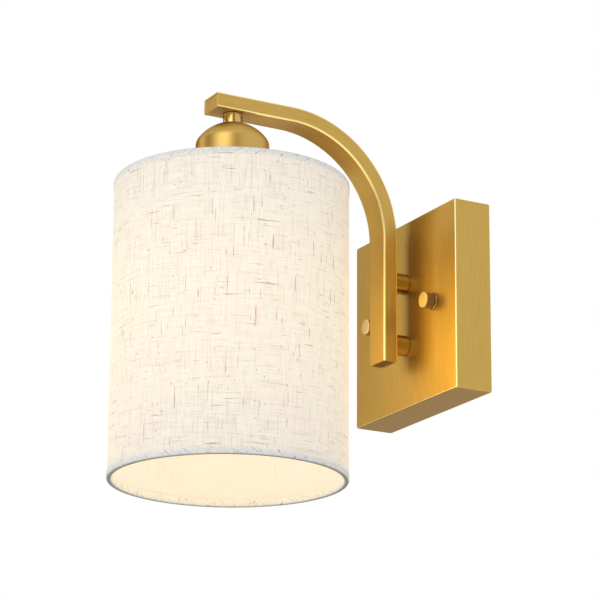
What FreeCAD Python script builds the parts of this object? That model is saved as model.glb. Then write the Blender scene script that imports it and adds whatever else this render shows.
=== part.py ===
import FreeCAD, Part
import math
import os
import re
import Sketcher

# Wall light with a straight fabric shade that hangs from a bent brass arm.
# Origin: centre of the backplate's rear face, on the wall. +Z up, -Y out of the wall
# into the room, +X to the right for someone who faces the wall. Millimetres.

doc = FreeCAD.newDocument("fabric_shade_wall_light")
sheet = doc.addObject("Spreadsheet::Sheet", "Sizes")

driving_sizes = [
    # backplate: a square pan of folded sheet, open towards the wall
    ("plateWide", 120),
    ("plateHigh", 120),
    ("plateDeep", 25),
    ("plateWall", 1.2),
    ("plateCorner", 1.4),
    ("plateEdge", 0.6),
    # strap that is screwed to the outlet box
    ("strapGap", 2.8),
    ("strapHigh", 24),
    ("strapThick", 1.6),
    ("strapCorner", 4),
    ("strapHole", 5.2),
    ("boxSpacing", 88.9),
    ("boxSlotWide", 5),
    ("boxSlotLong", 9),
    ("earthPlace", 18),
    ("earthScrewRadius", 2),
    ("earthHeadRadius", 4),
    ("earthHeadHigh", 2.4),
    # studs and the knurled nuts that hold the backplate
    ("studSpacing", 69.85),
    ("studRadius", 2),
    ("studLong", 31.5),
    ("studNutFlats", 7),
    ("studNutThick", 3.2),
    ("threadPitch", 0.7),
    ("washerRadius", 5.4),
    ("washerThick", 2),
    ("nutRadius", 5),
    ("nutLong", 6.3),
    ("nutNose", 1.1),
    ("nutStep", 0.2),
    ("nutCrown", 0.3),
    ("nutCrownIn", 0.8),
    ("nutGroove", 0.5),
    ("nutEndWall", 1.2),
    ("knurlDepth", 0.35),
    ("knurlWide", 0.75),
    # stand-off posts between backplate and arm
    ("postLong", 10.65),
    ("postRadius", 6.5),
    ("postSpacing", 40),
    ("postChamfer", 0.5),
    # threaded tube, its nuts and the lower screw
    ("nippleRadius", 4.9),
    ("nippleBore", 3.5),
    ("nippleNutFlats", 13),
    ("nippleNutThick", 2.5),
    ("nippleProud", 1),
    ("screwRadius", 2.5),
    ("screwHeadRadius", 4.6),
    ("screwHeadHigh", 3),
    ("screwHeadFace", 2.5),
    ("screwHeadRim", 1.2),
    ("weldNutWide", 8),
    ("weldNutThick", 2.6),
    # arm: rectangular tube, bent once
    ("armWide", 18.5),
    ("armThick", 9.6),
    ("armWall", 1.2),
    ("armCorner", 0.9),
    ("armBend", 70),
    ("armRise", 115.15),
    ("armFoot", 33.9),
    ("armPastLamp", 15.2),
    ("armCapThick", 2),
    ("armCapSeam", 0.12),
    # neck collar and spun cup
    ("lampReach", 147.6),
    ("neckRadius", 6),
    ("neckHigh", 6.55),
    ("neckLipRadius", 6.3),
    ("neckLipHigh", 1),
    ("neckLipStep", 0.2),
    ("neckLipCrown", 0.3),
    ("cupRadius", 22.6),
    ("cupDome", 26.2),
    ("cupShoulder", 6),
    ("cupDeep", 45.8),
    ("cupWall", 0.8),
    # lampholder
    ("holderRadius", 19.5),
    ("holderWall", 2.4),
    ("holderBossRadius", 7.2),
    ("holderBossHigh", 4.5),
    ("holderCapHigh", 23.5),
    ("holderCapDome", 13),
    ("holderBodyHigh", 36),
    ("holderFloor", 2.5),
    ("holderFlangeRadius", 21.2),
    ("holderFlangeHigh", 1.6),
    ("terminalWide", 5),
    ("terminalHigh", 6),
    ("terminalLap", 0.8),
    ("shellRadius", 13.2),
    ("shellWall", 0.5),
    ("shellHigh", 24),
    ("contactRadius", 3.6),
    ("contactThick", 0.6),
    ("contactClear", 1),
    # bulb
    ("bulbCapRadius", 13.1),
    ("bulbCapHigh", 21),
    ("bulbCapWall", 0.4),
    ("bulbCapSlope", 1.6),
    ("bulbThread", 0.5),
    ("bulbThreadPitch", 3.629),
    ("bulbTipRadius", 4.6),
    ("bulbTipHigh", 1.6),
    ("bulbTipBow", 6.9),
    ("bulbInsulatorHigh", 3.2),
    ("bulbNeckRadius", 13.6),
    ("bulbGlobeRadius", 30),
    ("bulbLong", 108),
    ("bulbFlare", 50),
    ("bulbNeckTaper", 0.6),
    ("bulbGlassWall", 0.8),
    # shade
    ("shadeRadius", 71.9),
    ("shadeHigh", 184.8),
    ("shadeTop", 64.2),
    ("hemHigh", 4),
    ("hemThick", 0.35),
    ("hemRound", 0.6),
    ("coverThick", 0.4),
    ("linerThick", 0.4),
    ("wireRadius", 0.9),
    ("hubRadius", 26),
    ("hubThick", 1.6),
    ("hubDrop", 6.5),
    ("spokeRadius", 0.9),
    ("spokeBend", 12),
    ("spokeLap", 2.8),
    ("ringRadius", 24.5),
    ("ringHigh", 6.5),
    ("ringFlute", 0.8),
    # leads
    ("leadRadius", 0.95),
    ("leadSpread", 1.1),
    ("leadTightBend", 3),
    ("leadLooseBend", 6),
    ("leadEasyBend", 5),
    ("leadRun", 13),
    ("leadTail", 12),
    ("leadTuck", 1.4),
    ("connectorRadius", 5),
    ("connectorNose", 3.2),
    ("connectorLong", 20),
    ("connectorSkirt", 6),
    ("connectorBore", 2.2),
    ("connectorDeep", 9),
    # clearances
    ("fitGap", 0.1),
    ("threadGap", 0.05),
    ("faceGap", 0.1),
    ("looseGap", 0.3),
]

row_number = 0
for alias, value in driving_sizes:
    row_number += 1
    sheet.set("A%d" % row_number, alias)
    sheet.set("B%d" % row_number, str(value))
    sheet.setAlias("B%d" % row_number, alias)
doc.recompute()

counts = {"knurl": 26, "flutes": 20, "spokes": 3, "hexagon": 6}
alias_words = re.compile(r"\b(" + "|".join(alias for alias, value in driving_sizes) + r")\b")

# Places worked out from the driving sizes, as expressions over the sheet.
# "out" is a distance from the wall towards the room, "up" is a height.
arm_back = "(plateDeep + postLong)"
arm_middle = "(plateDeep + postLong + armThick / 2)"
arm_front = "(plateDeep + postLong + armThick)"
arm_under = "(armRise - armThick / 2)"
arm_tip = "(lampReach + armPastLamp)"
wall_cut = "(2.5 * armWall)"
strap_long = "(plateWide - 2 * plateWall - 2 * strapGap)"
post_up = "(postSpacing / 2)"
nut_base = "(plateDeep + washerThick)"
nut_top = "(plateDeep + washerThick + nutLong)"
collar_foot = f"({arm_under} - neckHigh)"
dome_centre = f"({collar_foot} - sqrt(cupDome ^ 2 - neckRadius ^ 2))"
shoulder_rise = "sqrt((cupDome - cupShoulder) ^ 2 - (cupRadius - cupShoulder) ^ 2)"
cup_rim = f"({collar_foot} - cupDeep)"
boss_top = f"({dome_centre} + sqrt((cupDome - cupWall) ^ 2 - holderBossRadius ^ 2))"
nipple_bore_fit = "(nippleRadius + threadGap)"
nipple_hole = "(nippleRadius + fitGap)"
holder_joint = f"({boss_top} - holderCapHigh)"
holder_foot = f"({holder_joint} - holderBodyHigh)"
floor_under = f"({holder_joint} - holderFloor)"
flange_foot = f"({cup_rim} - looseGap)"
hub_top = f"({flange_foot} - faceGap)"
hub_foot = f"({hub_top} - hubThick)"
ring_top = f"({hub_foot} - faceGap)"
ring_foot = f"({ring_top} - ringHigh)"
contact_foot = f"({floor_under} - contactThick)"
bulb_tip = f"({contact_foot} - faceGap)"
bulb_insulator_top = f"({bulb_tip} - bulbTipHigh)"
bulb_cap_top = f"({bulb_insulator_top} - bulbInsulatorHigh)"
bulb_cap_foot = f"({bulb_cap_top} - bulbCapHigh)"
bulb_end = f"({bulb_tip} - bulbLong)"
globe_centre = f"({bulb_end} + bulbGlobeRadius)"
shade_foot = "(shadeTop - shadeHigh)"
cover_out = "(shadeRadius - hemThick)"
liner_out = f"({cover_out} - coverThick)"
liner_in = f"({liner_out} - linerThick)"
wire_circle = f"({liner_in} - wireRadius)"
hem_in = f"({liner_in} - 2 * wireRadius - hemThick)"
wire_up = "(shadeTop - hemThick - wireRadius)"
wire_down = f"({shade_foot} + hemThick + wireRadius)"
spoke_up = f"({hub_top} + spokeRadius)"
lead_high = f"({arm_under} + armWall + nippleNutThick + nippleProud + leadTightBend - leadTuck)"
lead_deep = f"({arm_back} + armWall + nippleNutThick + nippleProud + leadTightBend - leadTuck)"


def bound(words):
    """Give an expression whose alias words point at the sheet."""
    return alias_words.sub(r"Sizes.\1", str(words))


def size(words):
    """Give the present value of an expression as a number."""
    value = sheet.evalExpression(bound(words))
    return float(getattr(value, "Value", value))


def plane(body, role):
    for feature in body.Origin.OriginFeatures:
        if feature.Role == role:
            return feature
    raise ValueError(role)


def new_body(label, across="0", out="0", up="0", facing="up"):
    """Start a body; facing 'room' lays its own Z axis along the way out of the wall."""
    body = doc.addObject("PartDesign::Body", label)
    body.Label = label
    if facing == "room":
        turn = FreeCAD.Rotation(FreeCAD.Vector(1, 0, 0), 90)
        body.Placement = FreeCAD.Placement(FreeCAD.Vector(0, 0, 0), turn)
    body.setExpression("Placement.Base.x", bound(across))
    body.setExpression("Placement.Base.y", bound(f"-({out})"))
    body.setExpression("Placement.Base.z", bound(up))
    return body


def new_sketch(body, name, role="XZ_Plane", lift=None):
    """Put a sketch on an origin plane of its own body, lifted along the plane's normal."""
    sketch = body.newObject("Sketcher::SketchObject", name)
    sketch.AttachmentSupport = [(plane(body, role), "")]
    sketch.MapMode = "FlatFace"
    if lift is not None:
        sketch.setExpression("AttachmentOffset.Base.z", bound(lift))
    return sketch


def pin_point(sketch, geometry, point, across, up):
    """Tie one end of a line or arc to its place from the sketch's origin."""
    for kind, words in (("DistanceX", across), ("DistanceY", up)):
        index = sketch.addConstraint(
            Sketcher.Constraint(kind, -1, 1, geometry, point, size(words)))
        sketch.setExpression(f"Constraints[{index}]", bound(words))


def bow(radius, side):
    """Describe an arc to the next corner: side 1 has its centre left of the way there."""
    return {"radius": radius, "side": side}


def spread_corners(corners, closed):
    """Turn rounded right-angled corners into two points and the arc between them."""
    points = []
    arcs = []
    stops = [item for item in corners if isinstance(item, tuple)]
    values = [(size(stop[0]), size(stop[1])) for stop in stops]
    stop_index = -1
    for item in corners:
        if isinstance(item, dict):
            arcs[-1] = item
            continue
        stop_index += 1
        is_end = not closed and stop_index in (0, len(stops) - 1)
        if len(item) < 3 or is_end:
            points.append((item[0], item[1]))
            arcs.append(None)
            continue
        here = values[stop_index]
        before = values[stop_index - 1]
        after = values[(stop_index + 1) % len(values)]
        steps = []
        for other in (before, after):
            run = (other[0] - here[0], other[1] - here[1])
            length = math.hypot(run[0], run[1])
            steps.append((round(run[0] / length), round(run[1] / length)))
        for step in steps:
            points.append((f"{item[0]} + ({step[0]}) * {item[2]}",
                           f"{item[1]} + ({step[1]}) * {item[2]}"))
            arcs.append(None)
        turn = steps[0][1] * steps[1][0] - steps[0][0] * steps[1][1]
        arcs[-2] = bow(item[2], 1 if turn > 0 else -1)
    return points, arcs


def draw(sketch, corners, closed=True):
    """Draw straight runs and arcs through corners that are expressions over the sheet."""
    points, arcs = spread_corners(corners, closed)
    values = [(size(point[0]), size(point[1])) for point in points]
    count = len(points) if closed else len(points) - 1
    ends = []
    for step in range(count):
        start = values[step]
        stop = values[(step + 1) % len(values)]
        first = FreeCAD.Vector(start[0], start[1], 0)
        last = FreeCAD.Vector(stop[0], stop[1], 0)
        if arcs[step] is None:
            ends.append((sketch.addGeometry(Part.LineSegment(first, last)), 1, 2))
            continue
        radius = size(arcs[step]["radius"])
        side = arcs[step]["side"]
        chord = last.sub(first)
        rise = math.sqrt(max(radius ** 2 - (chord.Length / 2) ** 2, 0.0))
        normal = FreeCAD.Vector(-chord.y, chord.x, 0).normalize()
        centre = first.add(last).multiply(0.5).add(normal.multiply(side * rise))
        angles = [math.atan2(point.y - centre.y, point.x - centre.x)
                  for point in (first, last)]
        if side < 0:
            angles.reverse()
        circle = Part.Circle(centre, FreeCAD.Vector(0, 0, 1), radius)
        index = sketch.addGeometry(Part.ArcOfCircle(circle, angles[0], angles[1]))
        constraint = sketch.addConstraint(Sketcher.Constraint("Radius", index, radius))
        sketch.setExpression(f"Constraints[{constraint}]", bound(arcs[step]["radius"]))
        ends.append((index, 1, 2) if side > 0 else (index, 2, 1))
    for step in range(count):
        pin_point(sketch, ends[step][0], ends[step][1], *points[step])
        if closed or step + 1 < count:
            following = ends[(step + 1) % count]
            sketch.addConstraint(Sketcher.Constraint(
                "Coincident", ends[step][0], ends[step][2], following[0], following[1]))
        else:
            pin_point(sketch, ends[step][0], ends[step][2], *points[step + 1])
    return sketch


def draw_circle(sketch, radius, across="0", up="0"):
    centre = FreeCAD.Vector(size(across), size(up), 0)
    index = sketch.addGeometry(Part.Circle(centre, FreeCAD.Vector(0, 0, 1), size(radius)))
    pin_point(sketch, index, 3, across, up)
    constraint = sketch.addConstraint(Sketcher.Constraint("Radius", index, size(radius)))
    sketch.setExpression(f"Constraints[{constraint}]", bound(radius))
    return sketch


def rectangle(left, right, bottom, top, rounding=None):
    corners = [(left, bottom), (right, bottom), (right, top), (left, top)]
    if rounding is None:
        return corners
    return [corner + (rounding,) for corner in corners]


def centred(wide, high, rounding=None):
    return rectangle(f"-({wide}) / 2", f"({wide}) / 2", f"-({high}) / 2", f"({high}) / 2",
                     rounding)


def revolve(body, sketch):
    feature = body.newObject("PartDesign::Revolution", "Turn")
    feature.Profile = sketch
    feature.ReferenceAxis = (sketch, ["V_Axis"])
    feature.Angle = 360
    body.Tip = feature
    return feature


def pad(body, sketch, length, midplane=False, backwards=False):
    feature = body.newObject("PartDesign::Pad", "Pad")
    feature.Profile = sketch
    feature.setExpression("Length", bound(length))
    feature.Midplane = midplane
    feature.Reversed = backwards
    body.Tip = feature
    return feature


def pocket(body, sketch, depth, along_normal=False):
    """Cut a sketch into its body and make sure that something was cut."""
    doc.recompute()
    before = body.Shape.Volume
    feature = body.newObject("PartDesign::Pocket", "Cut")
    feature.Profile = sketch
    feature.setExpression("Length", bound(depth))
    feature.Reversed = along_normal
    body.Tip = feature
    doc.recompute()
    if not feature.Shape.Volume < before:
        raise RuntimeError(body.Label + ": a cut removes nothing")
    return feature


def pattern_round(body, feature, count, axis="Z_Axis"):
    pattern = body.newObject("PartDesign::PolarPattern", "Round")
    pattern.Originals = [feature]
    pattern.Axis = (plane(body, axis), [""])
    pattern.Angle = 360
    pattern.Occurrences = count
    body.Tip = pattern
    return pattern


def turned(label, corners, **place):
    """Make a body by turning one profile of (radius, height) corners."""
    body = new_body(label, **place)
    revolve(body, draw(new_sketch(body, "Profile"), corners))
    return body


def sweep(body, section, route):
    doc.recompute()
    feature = body.newObject("PartDesign::AdditivePipe", "Pipe")
    feature.Profile = section
    feature.Spine = route
    feature.Mode = "Standard"
    body.Tip = feature
    doc.recompute()
    return feature


def piped(label, profile, path, **place):
    """Carry a profile along a path in the body's own YZ plane."""
    body = new_body(label, **place)
    route = draw(new_sketch(body, "Route", "YZ_Plane"), path, closed=False)
    section = new_sketch(body, "Section", profile["role"], profile["lift"])
    profile["draw"](section)
    sweep(body, section, route)
    return body


def hexagon(flats):
    corners = []
    for step in range(counts["hexagon"]):
        angle = step * 360 / counts["hexagon"]
        corners.append((f"({flats}) / sqrt(3) * cos({angle})",
                        f"({flats}) / sqrt(3) * sin({angle})"))
    return corners


def hex_nut(label, flats, thick, bore, **place):
    body = new_body(label, **place)
    sketch = draw(new_sketch(body, "Hexagon", "XY_Plane"), hexagon(flats))
    draw_circle(sketch, bore)
    pad(body, sketch, thick)
    return body


def group(label, members):
    compound = doc.addObject("Part::Compound", label)
    compound.Label = label
    compound.Links = members
    return compound


def cut_with(label, base, tools):
    """Cope one piece to the pieces that it meets."""
    result = base
    for number, tool in enumerate(tools):
        cut = doc.addObject("Part::Cut", f"{label}_cope_{number}")
        cut.Base = result
        cut.Tool = tool
        result = cut
    result.Label = label
    return result


nodes = []


def keep(piece):
    nodes.append(piece)
    return piece


# ---- backplate and what stands behind it ----

def make_backplate():
    body = new_body("backplate")
    pad(body, draw(new_sketch(body, "Outside"), centred("plateWide", "plateHigh", "plateCorner")),
        "plateDeep")
    doc.recompute()
    front = -size("plateDeep")
    touching = 0.001
    block = body.Tip
    rim = ["Edge%d" % (number + 1) for number, edge in enumerate(block.Shape.Edges)
           if abs(edge.CenterOfMass.y - front) < touching]
    edge = body.newObject("PartDesign::Fillet", "FrontEdge")
    edge.Base = (block, rim)
    edge.setExpression("Radius", bound("plateEdge"))
    body.Tip = edge
    inside = new_sketch(body, "Inside")
    draw(inside, centred("plateWide - 2 * plateWall", "plateHigh - 2 * plateWall"))
    pocket(body, inside, "plateDeep - plateWall", along_normal=True)
    holes = new_sketch(body, "Holes")
    for side in (-1, 1):
        draw_circle(holes, "studRadius + fitGap", f"{side} * studSpacing / 2")
    draw_circle(holes, nipple_hole, "0", post_up)
    draw_circle(holes, "screwRadius + fitGap", "0", f"-{post_up}")
    pocket(body, holes, "plateDeep + plateWall", along_normal=True)
    return body


def slot(middle, long, wide):
    """Outline of a slot that runs across, centred on the row through the origin."""
    straight = f"(({long}) - ({wide})) / 2"
    half = f"({wide}) / 2"
    arc = bow(half, 1)
    return [(f"{middle} - {straight}", f"-{half}"), (f"{middle} + {straight}", f"-{half}"), arc,
            (f"{middle} + {straight} + {half}", "0"), arc, (f"{middle} + {straight}", half),
            (f"{middle} - {straight}", half), arc, (f"{middle} - {straight} - {half}", "0"), arc]


def make_crossbar():
    body = new_body("crossbar")
    sketch = new_sketch(body, "Strap")
    draw(sketch, centred(strap_long, "strapHigh", "strapCorner"))
    draw_circle(sketch, "strapHole")
    for side in (-1, 1):
        draw(sketch, slot(f"{side} * boxSpacing / 2", "boxSlotLong", "boxSlotWide"))
    draw_circle(sketch, "earthScrewRadius + threadGap", "-earthPlace")
    pad(body, sketch, "strapThick")
    # drilled after the slots, so that a stud may stand close to a slot
    drilled = new_sketch(body, "StudHoles")
    for side in (-1, 1):
        draw_circle(drilled, "studRadius + threadGap", f"{side} * studSpacing / 2")
    pocket(body, drilled, "strapThick", along_normal=True)
    return body


def make_earth():
    face = "strapThick"
    head = f"({face} + earthHeadHigh)"
    crown = "(earthHeadHigh / 2)"
    keep(turned("ground_screw", [
        ("0", "0"), ("earthScrewRadius", "0"), ("earthScrewRadius", face),
        ("earthHeadRadius", face), ("earthHeadRadius", f"{head} - {crown}"),
        bow(f"(earthHeadRadius ^ 2 + {crown} ^ 2) / (2 * {crown})", 1), ("0", head)],
        across="-earthPlace", facing="room"))


def make_studs():
    studs = []
    nuts = []
    for number, side in enumerate((-1, 1)):
        place = dict(across=f"{side} * studSpacing / 2", facing="room")
        studs.append(turned(f"stud_{number}", [
            ("0", "0"), ("studRadius", "0"), ("studRadius", "studLong - threadPitch"),
            ("studRadius - threadPitch", "studLong"), ("0", "studLong")], **place))
        nuts.append(hex_nut(f"stud_nut_{number}", "studNutFlats", "studNutThick",
                            "studRadius + threadGap", out="strapThick", **place))
    keep(group("mounting_studs", studs))
    keep(group("stud_locknuts", nuts))


def make_thumb_nuts():
    for name, side in (("left", -1), ("right", 1)):
        place = dict(across=f"{side} * studSpacing / 2", facing="room")
        keep(turned(f"{name}_nut_washer", [
            ("studRadius + threadGap", "plateDeep"), ("washerRadius", "plateDeep"),
            ("washerRadius", f"{nut_base} - faceGap"),
            ("studRadius + threadGap", f"{nut_base} - faceGap")], **place))
        neck = f"{nut_base} + nutGroove"
        nose = f"{nut_top} - nutNose"
        body = turned(f"{name}_thumb_nut", [
            ("studRadius + threadGap", nut_base), ("nutRadius - nutGroove", nut_base),
            ("nutRadius - nutGroove", neck), ("nutRadius", neck),
            ("nutRadius", nose), ("nutRadius - nutGroove", f"{nose} + nutStep"),
            ("nutRadius - nutGroove", f"{nut_top} - nutCrown"),
            ("nutRadius - nutCrownIn", nut_top), ("0", nut_top),
            ("0", f"{nut_top} - nutEndWall"),
            ("studRadius + threadGap", f"{nut_top} - nutEndWall")], **place)
        tooth = new_sketch(body, "Groove", "XY_Plane", neck)
        draw(tooth, [("nutRadius - knurlDepth", "0"), ("nutRadius + knurlDepth", "knurlWide"),
                     ("nutRadius + knurlDepth", "-knurlWide")])
        cut = pocket(body, tooth, f"{nose} - ({neck})", along_normal=True)
        pattern_round(body, cut, counts["knurl"])
        keep(body)


# ---- posts, threaded tubes and fasteners ----

def sleeve(label, bore, outside, low, high, **place):
    return turned(label, [(bore, low), (outside, low), (outside, high), (bore, high)], **place)


def make_posts():
    for name, up, bore in (("upper", post_up, nipple_hole),
                           ("lower", f"-{post_up}", "screwRadius + fitGap")):
        keep(turned(f"{name}_post", [
            (bore, "plateDeep"), ("postRadius - postChamfer", "plateDeep"),
            ("postRadius", "plateDeep + postChamfer"), ("postRadius", f"{arm_back} - postChamfer"),
            ("postRadius - postChamfer", arm_back), (bore, arm_back)], up=up, facing="room"))
    nut_in = "plateDeep - plateWall - nippleNutThick"
    nut_out = f"{arm_back} + armWall"
    keep(sleeve("upper_post_nipple", "nippleBore", "nippleRadius", f"{nut_in} - nippleProud",
                f"{nut_out} + nippleNutThick + nippleProud", up=post_up, facing="room"))
    nuts = [hex_nut(f"upper_post_nut_{number}", "nippleNutFlats", "nippleNutThick",
                    nipple_bore_fit, out=out, up=post_up, facing="room")
            for number, out in enumerate((nut_in, nut_out))]
    keep(group("upper_post_locknuts", nuts))
    seat = "plateDeep - plateWall"
    keep(turned("lower_post_screw", [
        ("0", f"{seat} - screwHeadHigh"), ("screwHeadFace", f"{seat} - screwHeadHigh"),
        bow("screwHeadHigh", -1), ("screwHeadRadius", f"{seat} - screwHeadRim"),
        ("screwHeadRadius", seat), ("screwRadius", seat),
        ("screwRadius", f"{nut_out} + weldNutThick"), ("0", f"{nut_out} + weldNutThick")],
        up=f"-{post_up}", facing="room"))
    weld = new_body("lower_post_nut", out=nut_out, up=f"-{post_up}", facing="room")
    sketch = draw(new_sketch(weld, "Square", "XY_Plane"), centred("weldNutWide", "weldNutWide"))
    draw_circle(sketch, "screwRadius + threadGap")
    pad(weld, sketch, "weldNutThick")
    keep(weld)


# ---- arm ----

def arm_section(inset, corner):
    wide = f"armWide - 2 * ({inset})"
    thick = f"armThick - 2 * ({inset})"
    half = f"({thick}) / 2"
    return rectangle(f"-({wide}) / 2", f"({wide}) / 2", f"-{arm_middle} - {half}",
                     f"-{arm_middle} + {half}", corner)


def make_arm():
    def both_loops(sketch):
        draw(sketch, arm_section("0", "armCorner"))
        draw(sketch, arm_section("armWall", None))

    body = piped("arm_tube",
                 {"role": "XY_Plane", "lift": "-armFoot", "draw": both_loops},
                 [(f"-{arm_middle}", "-armFoot"), (f"-{arm_middle}", "armRise", "armBend"),
                  (f"-{arm_tip}", "armRise")])
    back = new_sketch(body, "BackHoles", "XZ_Plane", f"{arm_back} - armWall")
    draw_circle(back, nipple_hole, "0", post_up)
    draw_circle(back, "screwRadius + fitGap", "0", f"-{post_up}")
    pocket(body, back, wall_cut, along_normal=True)
    under = new_sketch(body, "NeckHole", "XY_Plane", f"{arm_under} - armWall")
    draw_circle(under, nipple_hole, "0", "-lampReach")
    pocket(body, under, wall_cut, along_normal=True)
    return body


def make_arm_caps():
    inset = "armWall + armCapSeam"
    foot = new_body("arm_foot_cap")
    pad(foot, draw(new_sketch(foot, "Plug", "XY_Plane", "-armFoot"), arm_section(inset, None)),
        "armCapThick")
    keep(foot)
    tip = new_body("arm_tip_cap")
    half = f"(armThick / 2 - ({inset}))"
    wide = f"(armWide / 2 - ({inset}))"
    corners = rectangle(f"-{wide}", wide, f"armRise - {half}", f"armRise + {half}")
    pad(tip, draw(new_sketch(tip, "Plug", "XZ_Plane", f"{arm_tip} - armCapThick"), corners),
        "armCapThick")
    keep(tip)


# ---- neck, cup and lampholder ----

def on_dome(radius, shrink="0"):
    """Height of the cup's dome at a radius, on its outside or an inner offset of it."""
    return f"({dome_centre} + sqrt((cupDome - {shrink}) ^ 2 - ({radius}) ^ 2))"


def make_neck():
    lamp = dict(out="lampReach")
    keep(turned("neck_collar", [
        (nipple_hole, on_dome(nipple_hole)), bow("cupDome", -1), ("neckRadius", collar_foot),
        ("neckRadius", f"{arm_under} - neckLipHigh"),
        ("neckLipRadius", f"{arm_under} - neckLipHigh + neckLipStep"),
        ("neckLipRadius", f"{arm_under} - neckLipCrown"),
        ("neckRadius", arm_under), (nipple_hole, arm_under)], **lamp))
    top = f"{arm_under} + armWall + nippleNutThick + nippleProud"
    keep(sleeve("neck_nipple", "nippleBore", "nippleRadius", f"{boss_top} - holderBossHigh", top,
                **lamp))
    keep(hex_nut("neck_locknut", "nippleNutFlats", "nippleNutThick", nipple_bore_fit,
                 up=f"{arm_under} + armWall", **lamp))


def make_cup():
    lean = "(cupDome - cupShoulder)"
    join_out = "(cupRadius - cupShoulder)"
    inner = "cupRadius - cupWall"
    shoulder = f"({dome_centre} + {shoulder_rise})"

    def junction(shrink):
        reach = f"(cupDome - {shrink}) / {lean}"
        return (f"{reach} * {join_out}", f"{dome_centre} + {reach} * {shoulder_rise}")

    return turned("socket_cup", [
        (nipple_hole, on_dome(nipple_hole)), bow("cupDome", -1),
        junction("0"), bow("cupShoulder", -1),
        ("cupRadius", shoulder), ("cupRadius", cup_rim), (inner, cup_rim), (inner, shoulder),
        bow("cupShoulder - cupWall", 1), junction("cupWall"),
        bow("cupDome - cupWall", 1), (nipple_hole, on_dome(nipple_hole, "cupWall"))],
        out="lampReach")


def make_lampholder():
    lamp = dict(out="lampReach")
    boss_foot = f"({boss_top} - holderBossHigh)"
    spring = f"({holder_joint} + holderCapDome - holderWall)"
    inner = "holderRadius - holderWall"
    keep(turned("lampholder_cap", [
        (nipple_bore_fit, boss_top), ("holderBossRadius", boss_top),
        ("holderBossRadius", boss_foot), bow("holderCapDome", -1),
        ("holderRadius", spring), ("holderRadius", holder_joint), (inner, holder_joint),
        (inner, f"{spring} - holderWall"), bow("holderCapDome", 1),
        ("holderBossRadius", f"{boss_foot} - holderWall"),
        (nipple_bore_fit, f"{boss_foot} - holderWall")], **lamp))
    flange_top = f"({flange_foot} + holderFlangeHigh)"
    keep(turned("lampholder_body", [
        ("0", floor_under), (inner, floor_under), (inner, holder_foot),
        ("holderRadius", holder_foot), ("holderRadius", flange_foot),
        ("holderFlangeRadius", flange_foot), ("holderFlangeRadius", flange_top),
        ("holderRadius", flange_top), ("holderRadius", holder_joint), ("0", holder_joint)],
        **lamp))
    lip = f"({floor_under} - shellWall)"
    contact_gap = "(contactRadius + contactClear)"
    keep(turned("screw_shell", [
        (contact_gap, floor_under), (contact_gap, lip), ("shellRadius", lip),
        ("shellRadius", f"{floor_under} - shellHigh"),
        ("shellRadius + shellWall", f"{floor_under} - shellHigh"),
        ("shellRadius + shellWall", floor_under)], **lamp))
    keep(turned("centre_contact", [
        ("0", contact_foot), ("contactRadius", contact_foot), ("contactRadius", floor_under),
        ("0", floor_under)], **lamp))
    blocks = []
    for number, side in enumerate((-1, 1)):
        block = new_body(f"terminal_{number}", out="lampReach")
        near = f"{side} * (leadSpread - terminalLap)"
        far = f"{side} * (leadSpread - terminalLap + terminalWide)"
        low, high = (near, far) if side > 0 else (far, near)
        sketch = draw(new_sketch(block, "Block", "XY_Plane", holder_joint),
                      rectangle(low, high, "-terminalWide / 2", "terminalWide / 2"))
        pad(block, sketch, "terminalHigh")
        blocks.append(block)
    keep(group("lead_terminals", blocks))


# ---- bulb ----

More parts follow.
